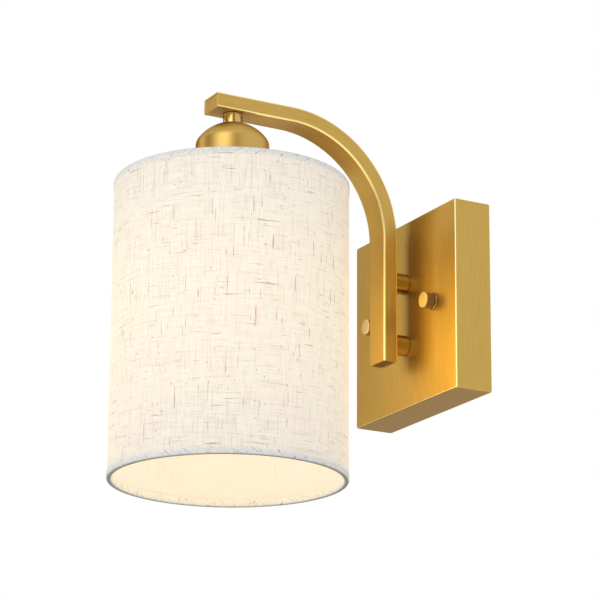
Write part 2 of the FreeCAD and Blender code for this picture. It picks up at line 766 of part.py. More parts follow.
def make_bulb():
    lamp = dict(out="lampReach")
    flare_reach = "bulbGlobeRadius * cos(bulbFlare)"
    flare_up = f"({globe_centre} + bulbGlobeRadius * sin(bulbFlare))"
    neck_bow = f"(({flare_reach} - bulbNeckRadius) / (1 - sin(bulbFlare)))"
    neck_up = f"({flare_up} + {neck_bow} * cos(bulbFlare))"
    thin = "bulbGlassWall"
    keep(turned("bulb_glass", [
        ("0", bulb_end), bow("bulbGlobeRadius", 1), ("bulbGlobeRadius", globe_centre),
        bow("bulbGlobeRadius", 1), (flare_reach, flare_up), bow(neck_bow, -1),
        ("bulbNeckRadius", neck_up), ("bulbNeckRadius - bulbNeckTaper", bulb_cap_foot),
        (f"bulbNeckRadius - bulbNeckTaper - {thin}", bulb_cap_foot), (f"bulbNeckRadius - {thin}", neck_up),
        bow(f"({neck_bow} + {thin})", 1),
        (f"(bulbGlobeRadius - {thin}) * cos(bulbFlare)",
         f"{globe_centre} + (bulbGlobeRadius - {thin}) * sin(bulbFlare)"),
        bow(f"bulbGlobeRadius - {thin}", -1), (f"bulbGlobeRadius - {thin}", globe_centre),
        bow(f"bulbGlobeRadius - {thin}", -1), ("0", f"{bulb_end} + {thin}")], **lamp))
    ridges = int(size("bulbCapHigh / bulbThreadPitch")) - 1
    outside = []
    for ridge in range(ridges):
        low = f"{bulb_cap_top} - ({ridge} + 0.5) * bulbThreadPitch"
        outside.append(("bulbCapRadius - bulbThread", low))
        outside.append(("bulbCapRadius", f"{low} - bulbThreadPitch / 3"))
        outside.append(("bulbCapRadius", f"{low} - bulbThreadPitch / 2"))
        outside.append(("bulbCapRadius - bulbThread", f"{low} - bulbThreadPitch * 5 / 6"))
    hollow = "bulbCapRadius - bulbThread - bulbCapWall"
    crown = "bulbTipRadius + bulbInsulatorHigh"
    slope = f"({bulb_cap_top} - bulbCapSlope)"
    keep(turned("bulb_cap", [
        (crown, bulb_cap_top), ("bulbCapRadius - bulbThread", slope)] + outside + [
        ("bulbCapRadius - bulbThread", bulb_cap_foot), (hollow, bulb_cap_foot),
        (hollow, f"{slope} - bulbCapWall"), (crown, f"{bulb_cap_top} - bulbCapWall")], **lamp))
    keep(turned("bulb_insulator", [
        ("0", f"{bulb_cap_top} - bulbCapWall"), (crown, f"{bulb_cap_top} - bulbCapWall"),
        (crown, bulb_cap_top),
        ("bulbTipRadius", bulb_insulator_top), ("0", bulb_insulator_top)], **lamp))
    keep(turned("bulb_contact", [
        ("0", bulb_insulator_top), ("bulbTipRadius - fitGap", bulb_insulator_top),
        bow("bulbTipBow", 1), ("bulbTipRadius / 2", bulb_tip), ("0", bulb_tip)],
        **lamp))


# ---- shade ----

def hem_corners(edge, away):
    """Folded hem: edge is the shade's end, away points from it into the shade's height."""
    leg = f"{edge} + ({away}) * hemHigh"
    web = f"{edge} + ({away}) * hemThick"
    return [(hem_in, edge, "hemRound"), ("shadeRadius", edge, "hemRound"), ("shadeRadius", leg),
            (cover_out, leg), (cover_out, web), (f"{hem_in} + hemThick", web),
            (f"{hem_in} + hemThick", leg), (hem_in, leg)]


def make_spokes(label, radius):
    """Three wire spokes from the top of the hub to the middle of the top ring's wire."""
    start = "(hubRadius - spokeLap)"
    bend_out = f"({wire_circle} - spokeBend)"
    rise = f"({wire_up} - {spoke_up})"
    ease = f"(spokeBend * tan(atan({rise} / spokeBend) / 2))"
    slope = f"sqrt(spokeBend ^ 2 + {rise} ^ 2)"
    body = new_body(label, out="lampReach")
    route = draw(new_sketch(body, "Route"), [
        (start, spoke_up), (f"{bend_out} - {ease}", spoke_up), bow("spokeBend", 1),
        (f"{bend_out} + {ease} * spokeBend / {slope}", f"{spoke_up} + {ease} * {rise} / {slope}"),
        (f"{wire_circle} - wireRadius / 2 * spokeBend / {slope}",
         f"{wire_up} - wireRadius / 2 * {rise} / {slope}")], closed=False)
    section = draw_circle(new_sketch(body, "Section", "YZ_Plane", start), radius, "0", spoke_up)
    pipe = sweep(body, section, route)
    pattern_round(body, pipe, counts["spokes"])
    return body


def make_wire_ring(label, up):
    ring = doc.addObject("Part::Torus", label)
    ring.Label = label
    ring.setExpression("Radius1", bound(wire_circle))
    ring.setExpression("Radius2", bound("wireRadius"))
    ring.setExpression("Placement.Base.y", bound("-lampReach"))
    ring.setExpression("Placement.Base.z", bound(up))
    return ring


def make_shade():
    lamp = dict(out="lampReach")
    hub = keep(sleeve("spider_hub", "holderRadius + looseGap", "hubRadius", hub_foot, hub_top,
                      **lamp))
    top_ring = keep(make_wire_ring("top_wire_ring", wire_up))
    keep(make_wire_ring("bottom_wire_ring", wire_down))
    keep(cut_with("spider_arms", make_spokes("spoke_wires", "spokeRadius"), [hub, top_ring]))
    low = f"{shade_foot} + hemThick"
    high = "shadeTop - hemThick"
    keep(sleeve("shade_liner", liner_in, liner_out, low, high, **lamp))
    keep(sleeve("linen_cover", liner_out, cover_out, low, high, **lamp))
    keep(turned("bottom_hem", hem_corners(shade_foot, "1"), **lamp))
    keep(cut_with("top_hem", turned("folded_top_hem", hem_corners("shadeTop", "-1"), **lamp),
                  [make_spokes("spoke_notches", "spokeRadius + fitGap")]))


def make_retaining_ring():
    chamfer = "ringFlute"
    body = turned("retaining_ring", [
        ("holderRadius + threadGap", ring_foot), (f"ringRadius - {chamfer}", ring_foot),
        ("ringRadius", f"{ring_foot} + {chamfer}"), ("ringRadius", f"{ring_top} - {chamfer}"),
        (f"ringRadius - {chamfer}", ring_top), ("holderRadius + threadGap", ring_top)],
        out="lampReach")
    flute = new_sketch(body, "Flute", "XY_Plane", ring_foot)
    draw_circle(flute, "2 * ringFlute", "ringRadius + ringFlute")
    cut = pocket(body, flute, "ringHigh", along_normal=True)
    pattern_round(body, cut, counts["flutes"])
    return body


# ---- leads inside the arm and the backplate ----

def make_lead(label, across, path):
    """A lead whose route lies in one upright plane, square to its first run."""
    first = path[0]

    def round_section(sketch):
        draw_circle(sketch, "leadRadius", "0", first[0])

    return piped(label, {"role": "XY_Plane", "lift": first[1], "draw": round_section}, path,
                 across=across)


def make_connector(number, across, up, way):
    """Twist-on connector, open at its foot, that takes the end of a lead."""
    def at(height):
        return f"{way} * ({height})"

    return turned(f"connector_{number}", [
        ("connectorBore", at("0")), ("connectorRadius", at("0")),
        ("connectorRadius", at("connectorSkirt")),
        ("connectorNose", at("connectorLong - connectorNose / 2")),
        ("connectorNose / 2", at("connectorLong")), ("0", at("connectorLong")),
        ("0", at("connectorDeep")), ("connectorBore", at("connectorDeep"))],
        across=across, out="leadRun", up=up)


def make_leads():
    connectors = []
    for number, (name, side, way) in enumerate((("live", -1, 1), ("neutral", 1, -1))):
        across = f"{side} * leadSpread"
        keep(make_lead(f"{name}_lead", across, [
            ("-lampReach", f"{holder_joint} + terminalHigh"),
            ("-lampReach", lead_high, "leadTightBend"), (f"-{lead_deep}", lead_high, "armBend"),
            (f"-{lead_deep}", post_up, "leadTightBend"), ("-leadRun", post_up, "leadLooseBend"),
            ("-leadRun", f"{post_up} + {way} * (leadTail + connectorDeep)")]))
        connectors.append(make_connector(number, across, f"{post_up} + {way} * leadTail", way))
    face = "-(strapThick + leadRadius)"
    step = "(strapHigh / 2 + leadRadius)"
    keep(make_lead("ground_lead", "-earthPlace", [
        (face, "earthHeadRadius"), (face, step, "leadEasyBend"), ("-leadRun", step, "leadEasyBend"),
        ("-leadRun", f"{post_up} + leadTail + connectorDeep")]))
    connectors.append(make_connector(2, "-earthPlace", f"{post_up} + leadTail", 1))
    keep(group("wire_connectors", connectors))


keep(make_backplate())
keep(make_crossbar())
make_earth()
make_studs()
make_thumb_nuts()
make_posts()
keep(make_arm())
make_arm_caps()
make_neck()
keep(make_cup())
make_lampholder()
make_bulb()
make_shade()
keep(make_retaining_ring())
make_leads()

doc.recompute()
failed = [item.Label for item in doc.Objects
          if "Invalid" in item.State or "Error" in item.State]
if failed:
    raise RuntimeError("these did not compute: " + ", ".join(failed))
for piece in nodes:
    if piece.Shape.isNull() or not piece.Shape.isValid() or not piece.Shape.Solids:
        raise RuntimeError(piece.Label + " is not a valid solid")
    if len(piece.Label) > 59 or not re.fullmatch(r"[a-z0-9_]+", piece.Label):
        raise RuntimeError(piece.Label + " is not a plain name")

os.makedirs("parts", exist_ok=True)
for piece in nodes:
    piece.Shape.exportStep(os.path.join("parts", piece.Label + ".step"))
print(len(nodes), "nodes,", sum(len(piece.Shape.Solids) for piece in nodes), "solids")
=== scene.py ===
import math

import bmesh
import bpy
import numpy as np
from mathutils import Matrix, Vector


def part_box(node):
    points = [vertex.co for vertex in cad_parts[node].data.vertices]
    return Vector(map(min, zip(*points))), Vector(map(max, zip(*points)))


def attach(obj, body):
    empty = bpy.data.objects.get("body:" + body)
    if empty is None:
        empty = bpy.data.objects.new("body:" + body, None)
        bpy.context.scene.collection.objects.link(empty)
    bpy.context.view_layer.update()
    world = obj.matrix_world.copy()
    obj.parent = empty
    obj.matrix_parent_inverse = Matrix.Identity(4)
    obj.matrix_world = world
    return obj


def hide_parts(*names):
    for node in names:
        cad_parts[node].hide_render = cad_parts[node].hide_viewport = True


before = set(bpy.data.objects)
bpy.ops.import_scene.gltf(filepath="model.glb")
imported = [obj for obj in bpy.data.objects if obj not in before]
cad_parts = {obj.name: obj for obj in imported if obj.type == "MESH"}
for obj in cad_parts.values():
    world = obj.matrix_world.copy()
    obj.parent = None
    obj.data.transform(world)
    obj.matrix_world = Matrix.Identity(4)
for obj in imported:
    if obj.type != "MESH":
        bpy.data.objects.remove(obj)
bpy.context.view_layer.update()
millimetre = 0.001  # every piece is worked out in millimetres
print("frame loaded")


def linearColour(hexText):
    # sRGB hex to the linear colour that the shaders take
    channels = [int(hexText[step:step + 2], 16) / 255 for step in (0, 2, 4)]
    return tuple(part / 12.92 if part <= 0.04045 else ((part + 0.055) / 1.055) ** 2.4
                 for part in channels) + (1.0,)


def feed(owner, node, links):
    # links are (node, output) by the socket that they go to
    for socket, (source, output) in links.items():
        owner.node_tree.links.new(source.outputs[output], node.inputs[socket])


def addNode(owner, kind, settings=None, links=None, stops=()):
    # owner is a material or the world, settings are sockets or attributes by name, links are
    # as in feed, and stops are the (place, hex colour) of a colour ramp
    node = owner.node_tree.nodes.new("ShaderNode" + kind)
    for name, value in (settings or {}).items():
        if isinstance(name, int) or name in node.inputs:
            node.inputs[name].default_value = value
        else:
            setattr(node, name, value)
    feed(owner, node, links or {})
    if stops:
        elements = node.color_ramp.elements
        while len(elements) < len(stops):
            elements.new(0.5)
        for element, (place, colour) in zip(elements, stops):
            element.position = place
            element.color = linearColour(colour)
    return node


def newMaterial(name, settings):
    material = bpy.data.materials.new(name)
    material.use_nodes = True
    shader = material.node_tree.nodes["Principled BSDF"]
    for socket, value in settings.items():
        shader.inputs[socket].default_value = value
    return material, shader


def newObject(name, data):
    thing = bpy.data.objects.new(name, data)
    bpy.context.scene.collection.objects.link(thing)
    return thing


mergeDistance, leastEdge = 1e-7, 1e-8  # metres


def surface(name, grid, pattern, closed=True, smoothAngle=40, buffedHighlight=None):
    # a grid of points (round, along, 3) becomes a mesh of quads: it always closes round, and
    # along where closed says so. Doubled poles are merged and faces turned outwards. pattern is
    # the finish's place at each grid point, with the first row again at the end, and buffedHighlight
    # is 1 on rubbed edges, which are smoother and get a painted highlight.
    grid = np.asarray(grid, float)
    rounds, alongs = grid.shape[:2]
    row, column = np.meshgrid(np.arange(rounds), np.arange(alongs if closed else alongs - 1),
                              indexing="ij")
    row, column = row.ravel(), column.ravel()
    corners = ((row, column), (row + 1, column), (row + 1, column + 1), (row, column + 1))
    faces = np.stack([(first % rounds) * alongs + (second % alongs)
                      for first, second in corners], axis=1)
    points = grid.reshape(-1, 3) * millimetre
    quads = points[faces]
    turned = np.cross(quads[:, 2] - quads[:, 0], quads[:, 3] - quads[:, 1])
    places = np.stack([pattern[first, second] for first, second in corners], axis=1)
    if (quads.mean(axis=1) * turned).sum() < 0:
        faces, places = faces[:, ::-1], places[:, ::-1]
    mesh = bpy.data.meshes.new(name)
    mesh.from_pydata(points, [], faces)
    layer = mesh.uv_layers.new(name="millimetres")
    layer.data.foreach_set("uv", places.reshape(-1).astype(np.float32))
    if buffedHighlight is not None:
        marks = mesh.attributes.new("buffedHighlight", "FLOAT", "POINT")
        marks.data.foreach_set("value", buffedHighlight.reshape(-1).astype(np.float32))
    shell = bmesh.new()
    shell.from_mesh(mesh)
    bmesh.ops.remove_doubles(shell, verts=shell.verts, dist=mergeDistance)
    bmesh.ops.dissolve_degenerate(shell, edges=shell.edges, dist=leastEdge)
    shell.to_mesh(mesh)
    shell.free()
    mesh.shade_smooth()
    mesh.set_sharp_from_angle(angle=math.radians(smoothAngle))
    return newObject(name, mesh)


def patternGrid(around, along):
    # the finish's place is the distance walked round the piece and along it
    return np.stack(np.meshgrid(around, along, indexing="ij"), axis=2)


def bends(points, least=8.0):
    # 1 where a closed row of points turns by more than the least angle in degrees, else 0
    ahead = np.roll(points, -1, axis=0) - points
    behind = points - np.roll(points, 1, axis=0)
    crossed = ahead[:, 0] * behind[:, 1] - ahead[:, 1] * behind[:, 0]
    turn = np.abs(np.arctan2(crossed, (ahead * behind).sum(axis=1)))
    return (np.degrees(turn) > least).astype(float)


def runLength(points):
    # distance walked along a row of points, starting at 0
    steps = np.linalg.norm(np.diff(points, axis=0), axis=1)
    return np.concatenate([[0.0], np.cumsum(steps)])


def roundedLine(corners, closed=False, steps=5, support=0.12):
    # straight runs through corners (x, y, radius), each corner an arc of that radius with
    # one more point close before and after it, which keeps the flat runs flat in shading. An
    # arc takes less than half of the runs beside it.
    corners = [tuple(corner) + (0,) * (3 - len(corner)) for corner in corners]
    line = []
    for count, (x, y, radius) in enumerate(corners):
        here = np.array([x, y], float)
        isEnd = not closed and count in (0, len(corners) - 1)
        if radius <= 0 or isEnd:
            line.append(here)
            continue
        before = np.array(corners[count - 1][:2], float) - here
        after = np.array(corners[(count + 1) % len(corners)][:2], float) - here
        reach = (np.linalg.norm(before), np.linalg.norm(after))
        before, after = before / reach[0], after / reach[1]
        half = math.acos(np.clip(np.dot(before, after), -1, 1)) / 2
        cut = min(radius / math.tan(half), 0.49 * min(reach))
        radius = cut * math.tan(half)
        middle = here + (before + after) / np.linalg.norm(before + after) * radius / math.sin(half)
        first = here + before * cut - middle
        last = here + after * cut - middle
        turn = math.acos(np.clip(np.dot(first, last) / radius ** 2, -1, 1))
        share = np.linspace(0, 1, steps + 1)[:, None]
        arc = (np.sin((1 - share) * turn) * first + np.sin(share * turn) * last) / math.sin(turn)
        line.append(here + before * min(cut + support, reach[0] / 2))
        line.extend(middle + arc)
        line.append(here + after * min(cut + support, reach[1] / 2))
    return np.array(line)


def lathe(name, profile, centre, facing="up", turns=96, closed=True, smoothAngle=40,
          ripple=None):
    # a profile (radius, height) carried round an axis: the point at a turn is radius x (cosine,
    # sine) across the axis and height along it. facing "room" lays the axis out of the wall.
    profile = np.asarray(profile, float)
    angle = np.linspace(0, 2 * np.pi, turns, endpoint=False)[:, None]
    radius = np.repeat(profile[None, :, 0], turns, axis=0)
    height = np.repeat(profile[None, :, 1], turns, axis=0)
    if ripple is not None:
        radius, height = ripple(radius, height, angle)
    x, y = radius * np.cos(angle), radius * np.sin(angle)
    grid = np.stack([x, y, height] if facing == "up" else [x, -height, y], axis=2)
    loop = np.vstack([profile, profile[:1]]) if closed else profile
    around = np.linspace(0, 2 * np.pi, turns + 1) * profile[:, 0].max()
    return surface(name, grid + np.asarray(centre), patternGrid(around, runLength(loop)),
                   closed=closed, smoothAngle=smoothAngle)


def finish(piece, material, body, node):
    # give a piece its finish, the body that it moves with and the node that it stands for
    piece.data.materials.clear()
    piece.data.materials.append(material)
    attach(piece, body)
    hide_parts(node)
    return piece


def repaint(node, material):
    # a CAD node keeps its mesh and takes a better finish
    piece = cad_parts[node]
    for place in range(len(piece.material_slots)):
        piece.material_slots[place].material = material
    if not piece.material_slots:
        piece.data.materials.append(material)


def nodeBox(node):
    low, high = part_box(node)
    return np.array(low) / millimetre, np.array(high) / millimetre


# finishes of the brass: depth of the lines in millimetres
grind = {"detail": 4.0, "roughness": 0.65, "cloudDetail": 3.0, "deep": 0.04}


def brushedMetal(name, look):
    # grinding lines run along the second pattern axis and are fine across the first
    material, shader = newMaterial(name, {
        "Metallic": 1.0, "Roughness": look["roughness"], "Base Color": linearColour(look["colour"])})
    place = addNode(material, "UVMap", {"uv_map": "millimetres"})
    stretch = addNode(material, "Mapping", {"Scale": (look["acrossPerMm"], look["alongPerMm"], 1)},
                      {"Vector": (place, "UV")})
    lines = addNode(material, "TexNoise", {"Scale": 1.0, "Detail": grind["detail"],
                                           "Roughness": grind["roughness"]},
                    {"Vector": (stretch, "Vector")})
    solid = addNode(material, "TexCoord")
    cloud = addNode(material, "TexNoise", {"Scale": look["cloudPerMetre"],
                                           "Detail": grind["cloudDetail"]},
                    {"Vector": (solid, "Object")})
    tone = addNode(material, "ValToRGB", links={"Fac": (lines, "Fac")}, stops=[
        (0.25, look["deep"]), (0.55, look["colour"]), (0.8, look["pale"])])
    patina = addNode(material, "ValToRGB", links={"Fac": (cloud, "Fac")}, stops=[
        (0.3, look["deep"]), (0.7, look["colour"])])
    mix = addNode(material, "Mix", {"data_type": "RGBA", 0: look["patina"]},
                  {6: (tone, "Color"), 7: (patina, "Color")})
    gloss = addNode(material, "MapRange", {"To Min": look["roughness"] - look["glossSpread"],
                                           "To Max": look["roughness"] + look["glossSpread"]},
                    {"Value": (lines, "Fac")})
    bump = addNode(material, "Bump", {"Strength": look["bump"],
                                      "Distance": grind["deep"] * millimetre},
                   {"Height": (lines, "Fac")})
    feed(material, shader, {"Base Color": (mix, 2), "Roughness": (gloss, "Result"),
                            "Normal": (bump, "Normal")})
    if "coat" in look:
        shader.inputs["Coat Weight"].default_value = look["coat"]
        shader.inputs["Coat Roughness"].default_value = look["roughness"]
    if "rim" in look:
        # colour that the metal keeps where it is seen at a low angle
        shader.inputs["Specular Tint"].default_value = linearColour(look["rim"])
    if "edge" in look:
        # folded edges are rubbed smooth, and their paler colour is a painted highlight
        marks = addNode(material, "Attribute", {"attribute_name": "buffedHighlight"})
        edge = addNode(material, "Mix", {"data_type": "RGBA", 7: linearColour(look["edge"])},
                       {0: (marks, "Fac"), 6: (mix, 2)})
        smooth = addNode(material, "Mix", {"data_type": "FLOAT", 3: look["edgeRoughness"]},
                         {0: (marks, "Fac"), 2: (gloss, "Result")})
        feed(material, shader, {"Base Color": (edge, 2), "Roughness": (smooth, 0)})
    return material


# satin brass: ground along the bar, then lacquered, so it is soft, warm and streaked. Real
# grinding lines are 0.1 mm wide, which is under a pixel, so they are drawn 0.4 mm wide.
satinLook = {"roughness": 0.4, "glossSpread": 0.06, "acrossPerMm": 2.6, "alongPerMm": 0.04,
             "cloudPerMetre": 18.0, "patina": 0.25, "bump": 0.2}
# its edge colour is a painted highlight along the rubbed folds and corners
satinBrass = brushedMetal("satinBrassBrushed", {
    **satinLook, "colour": "C8A657", "deep": "B3914A", "pale": "D6B768", "edge": "EFDFA2",
    "edgeRoughness": 0.22})
# the foot's cap is seldom seen; its brass is painted darker and browner than the tube, a painted
# shade for the shadowed plate under the arm that it mirrors
footBrassPaintedShade = brushedMetal("satinBrassFootPaintedShade", {
    **satinLook, "colour": "80652E", "deep": "6E5728", "pale": "8E723A"})

# spun brass: the tool's lines run round the cup, finer than on the arm, under clear lacquer
spunBrass = brushedMetal("satinBrassSpun", {
    "colour": "C6A354", "deep": "B8964A", "pale": "CFAE62", "roughness": 0.4,
    "glossSpread": 0.03, "acrossPerMm": 0.02, "alongPerMm": 6.0, "cloudPerMetre": 20.0,
    "patina": 0.1, "bump": 0.06, "coat": 0.45, "rim": "B0873F"})

# turned brass: cut on a lathe and polished, so it mirrors more sharply than the ground tube;
# its cut lines are 0.2 mm apart
turnedLook = {"roughness": 0.16, "glossSpread": 0.04, "acrossPerMm": 0.05, "alongPerMm": 5.0,
              "cloudPerMetre": 40.0, "patina": 0.1, "bump": 0.1}
collarBrass = brushedMetal("polishedBrassCollar", {
    **turnedLook, "colour": "CDAE66", "deep": "B5934B", "pale": "E2C988", "coat": 0.4,
    "roughness": 0.22, "rim": "A9823C"})
nutFaceBrass = brushedMetal("polishedBrassNutFace", {
    **turnedLook, "colour": "F4D694", "deep": "EAC884", "pale": "FBE3AC", "roughness": 0.34})
# the posts and the nuts' knurls are a darker, browner brass than the tube
postBrass = brushedMetal("darkBrassPost", {
    **turnedLook, "colour": "AC8F52", "deep": "967C47", "pale": "C0A463", "roughness": 0.24})
knurlBrass = brushedMetal("darkBrassKnurl", {
    **turnedLook, "colour": "9C8062", "deep": "7A6348", "pale": "B39877", "roughness": 0.26})


# finishes of the inner parts: the grain's cells per metre come from the size of its crystals or
# lumps, from 0.3 to 1 mm, and its depth is in millimetres
metalGrain = {"detail": 5.0, "glossSpread": 0.08, "bump": 0.2, "deep": 0.02}
plasticGrain = {"detail": 3.0, "from": 0.35, "to": 0.75, "bump": 0.15, "deep": 0.03}


def grainedShader(material, shader, grainPerMetre, grain, deep):
    # noise through the solid piece, which also raises its surface a little
    place = addNode(material, "TexCoord")
    lumps = addNode(material, "TexNoise", {"Scale": grainPerMetre, "Detail": grain["detail"]},
                    {"Vector": (place, "Object")})
    bump = addNode(material, "Bump", {"Strength": grain["bump"], "Distance": deep * millimetre},
                   {"Height": (lumps, "Fac")})
    feed(material, shader, {"Normal": (bump, "Normal")})
    return lumps


def plainMetal(name, colour, roughness, grainPerMetre, deep=metalGrain["deep"]):
    material, shader = newMaterial(name, {
        "Metallic": 1.0, "Roughness": roughness, "Base Color": linearColour(colour)})
    lumps = grainedShader(material, shader, grainPerMetre, metalGrain, deep)
    gloss = addNode(material, "MapRange", {"To Min": roughness - metalGrain["glossSpread"],
                                           "To Max": roughness + metalGrain["glossSpread"]},
                    {"Value": (lumps, "Fac")})
    feed(material, shader, {"Roughness": (gloss, "Result")})
    return material


# zinc plated steel, plated in a barrel: a cool pale grey with a blurred shine
zincPlate = plainMetal("zincPlatedSteel", "B9BAB6", 0.38, 900)
# aluminium sheet with a rolled thread: whiter and shinier than the zinc
rolledAluminium = plainMetal("rolledAluminium", "D4D4D2", 0.28, 1200)
# stamped brass without lacquer: a clear yellow with the press's own shine
stampedBrass = plainMetal("stampedBrass", "DDB765", 0.3, 1500)
# solder, set from a drop: dull grey and a little lumpy
dullSolder = plainMetal("dullSolder", "A9A9A8", 0.45, 2500, 0.06)
# steel in green chromate: a metal's shine under a green tint
greenScrew = plainMetal("greenChromateScrew", "2E8A4A", 0.35, 1500)


def mouldedPlastic(name, colour, roughness, speckle, grainPerMetre=1800):
    material, shader = newMaterial(name, {
        "Roughness": roughness, "Base Color": linearColour(colour), "IOR": 1.5})
    lumps = grainedShader(material, shader, grainPerMetre, plasticGrain, plasticGrain["deep"])
    tone = addNode(material, "ValToRGB", links={"Fac": (lumps, "Fac")}, stops=[
        (plasticGrain["from"], colour), (plasticGrain["to"], speckle)])
    feed(material, shader, {"Base Color": (tone, "Color")})
    return material


# phenolic, moulded: brown black with the mould's half shine
phenolic = mouldedPlastic("mouldedPhenolic", "1B1715", 0.35, "2A2421")
# black glass, fused into the cap: black with a sharp shine
blackGlass = mouldedPlastic("fusedBlackGlass", "15151A", 0.12, "1C1C22")
# steel wire in baked powder: soft white with a fine orange peel
whitePowder = mouldedPlastic("whitePowderCoat", "EFEDE6", 0.45, "F7F5EF", 3000)
# PVC, drawn over the wire: plain colours with a soft shine
blackSleeve = mouldedPlastic("blackInsulation", "1A1A1B", 0.4, "252527")
whiteSleeve = mouldedPlastic("whiteInsulation", "E6E6E2", 0.4, "EFEFEC")
greenSleeve = mouldedPlastic("greenInsulation", "2F8A48", 0.4, "3A9A55")
# nylon, moulded: a waxy orange
orangeCap = mouldedPlastic("orangeConnector", "D9741F", 0.42, "E2842F")


# cloths of the shade: each noise starts at its own place, so that no two are alike, and yarn
# stands up by a depth in millimetres
yarn = {"detail": 2.0, "roughness": 0.6, "weftFrom": 11.0, "warpFrom": 47.0, "warpOn": 31.0,
        "aside": 0.37, "deep": 0.25}


def wovenLinen(name, look):
    # plain weave of uneven flax yarn: matt, with no two yarns of one tone. Yarns are about
    # 0.5 mm, which is under a pixel, so the weave is drawn at 1 mm. Slubs are thick dark
    # stretches of yarn, 4 to 30 mm long.
    material, shader = newMaterial(name, {"Roughness": look["roughness"], "IOR": 1.45})
    place = addNode(material, "UVMap", {"uv_map": "millimetres"})
    lean = addNode(material, "Mapping", {"Rotation": (0, 0, math.radians(look["lean"]))},
                   {"Vector": (place, "UV")})

    def yarns(acrossPerMm, alongPerMm, offset):
        # noise drawn out along one way of the weave
        stretch = addNode(material, "Mapping", {
            "Scale": (acrossPerMm, alongPerMm, 1),
            "Location": (offset, offset * yarn["aside"], offset)}, {"Vector": (lean, "Vector")})
        return addNode(material, "TexNoise", {"Scale": 1.0, "Detail": yarn["detail"],
                                              "Roughness": yarn["roughness"]},
                       {"Vector": (stretch, "Vector")})

    weft = yarns(look["slow"], look["fast"], yarn["weftFrom"])
    warp = yarns(look["fast"], look["slow"], yarn["warpFrom"])
    both = addNode(material, "Math", {"operation": "ADD"}, {0: (weft, "Fac"), 1: (warp, "Fac")})
    height = addNode(material, "Math", {"operation": "MULTIPLY", 1: 0.5}, {0: (both, "Value")})
    cream = addNode(material, "ValToRGB", links={"Fac": (height, "Value")}, stops=[
        (0.4, look["deep"]), (0.5, look["colour"]), (0.6, look["pale"])])
    cloth = (cream, "Color")
    for slow, fast, offset, start, end, strength, colour in look["layers"]:
        # dark strokes of one kind, both ways of the weave, laid over the cloth so far
        strokes = [addNode(material, "MapRange", {"From Min": start, "From Max": end},
                           {"Value": (way, "Fac")})
                   for way in (yarns(slow, fast, offset),
                               yarns(fast, slow, offset + yarn["warpOn"]))]
        most = addNode(material, "Math", {"operation": "MAXIMUM"},
                       {0: (strokes[0], "Result"), 1: (strokes[1], "Result")})
        share = addNode(material, "Math", {"operation": "MULTIPLY", 1: strength},
                        {0: (most, "Value")})
        mix = addNode(material, "Mix", {"data_type": "RGBA", 7: linearColour(colour)},
                      {0: (share, "Value"), 6: cloth})
        cloth = (mix, 2)
        height = addNode(material, "Math", {"operation": "ADD"},
                         {0: (height, "Value"), 1: (share, "Value")})
    bump = addNode(material, "Bump", {"Strength": look["bump"],
                                      "Distance": yarn["deep"] * millimetre},
                   {"Height": (height, "Value")})
    feed(material, shader, {"Base Color": cloth, "Normal": (bump, "Normal")})
    return material, shader, cloth


def tinted(material, tint, cloth):
    # a light's tint times the cloth's colour
    mix = addNode(material, "Mix", {"data_type": "RGBA", "blend_type": "MULTIPLY", 0: 1.0},
                  {6: tint, 7: cloth})
    return (mix, 2)


# each layer: slow and fast noise per mm, its offset, noise at its start and full strength,
# share of its colour, and the colour
coverLook = {
    "colour": "E8E3DA", "deep": "E1DBD1", "pale": "EDE9E2", "lean": 0.5, "roughness": 0.9,
    "fast": 1.3, "slow": 0.06, "bump": 0.15,
    "layers": [(0.028, 0.85, 3.0, 0.58, 0.70, 0.42, "BEB5A2"),
               (0.045, 0.8, 90.0, 0.65, 0.72, 0.75, "968B7B"),
               (0.25, 0.8, 150.0, 0.69, 0.75, 0.9, "62564A")]}

hemLook = {
    "colour": "E4E5E6", "deep": "DBDDDF", "pale": "ECEDED", "lean": 38.0, "roughness": 0.9,
    "fast": 0.9, "slow": 0.12, "bump": 0.2,
    "layers": [(0.08, 0.8, 3.0, 0.60, 0.72, 0.4, "ACAFB2"),
               (0.1, 0.8, 90.0, 0.64, 0.70, 0.8, "6F6E6B")]}

linerLook = {
    "colour": "F2E9D9", "deep": "EFE4D2", "pale": "F4ECDE", "lean": 0.5, "roughness": 0.75,
    "fast": 0.9, "slow": 0.06, "bump": 0.05, "tint": "FFF5F3", "strength": 0.28,
    "layers": [(0.04, 0.5, 70.0, 0.62, 0.74, 0.35, "E2C4A4")]}

# the bulb's light in the cover: level and reach in millimetres
glow = {"height": -20, "reach": 95, "fade": 1.4, "colour": "FFF0C6", "edge": "FFE9D6",
        "strength": 0.3, "least": 0.45}

# the bulb's light in the hem, and in its tone a painted shade that greys the fold's underside:
# places run from the inner cut edge over the fold to the outer one, and the greys of its power
# are shares of its strength
hemLightAndShade = {"girth": 10.4, "strength": 0.38,
           "tone": [(0.3, "FFF8E4"), (0.44, "A7A396"), (0.56, "9A9994"), (0.68, "FFFBF4"),
                    (0.84, "F9F7F5"), (1.0, "FFF9EF")],
           "tint": [(0.0, "FFF8E4"), (0.45, "FFF4D8"), (0.62, "F8F5F4"), (0.85, "FBF3EC"),
                    (1.0, "FFEBDC")],
           "power": [(0.0, "FFFFFF"), (0.32, "DDDDDD"), (0.46, "202020"), (0.66, "505050"),
                     (0.8, "707070"), (1.0, "BCBCBC")]}

# lit glass: its glow is deeper at the neck, between two heights in metres
glassLook = {"colour": "F4F0E6", "roughness": 0.5, "strength": 0.45, "low": -0.03, "high": 0.05,
             "tone": [(0.0, "FFF6DC"), (0.6, "FFF0CC"), (1.0, "FFD9A0")]}


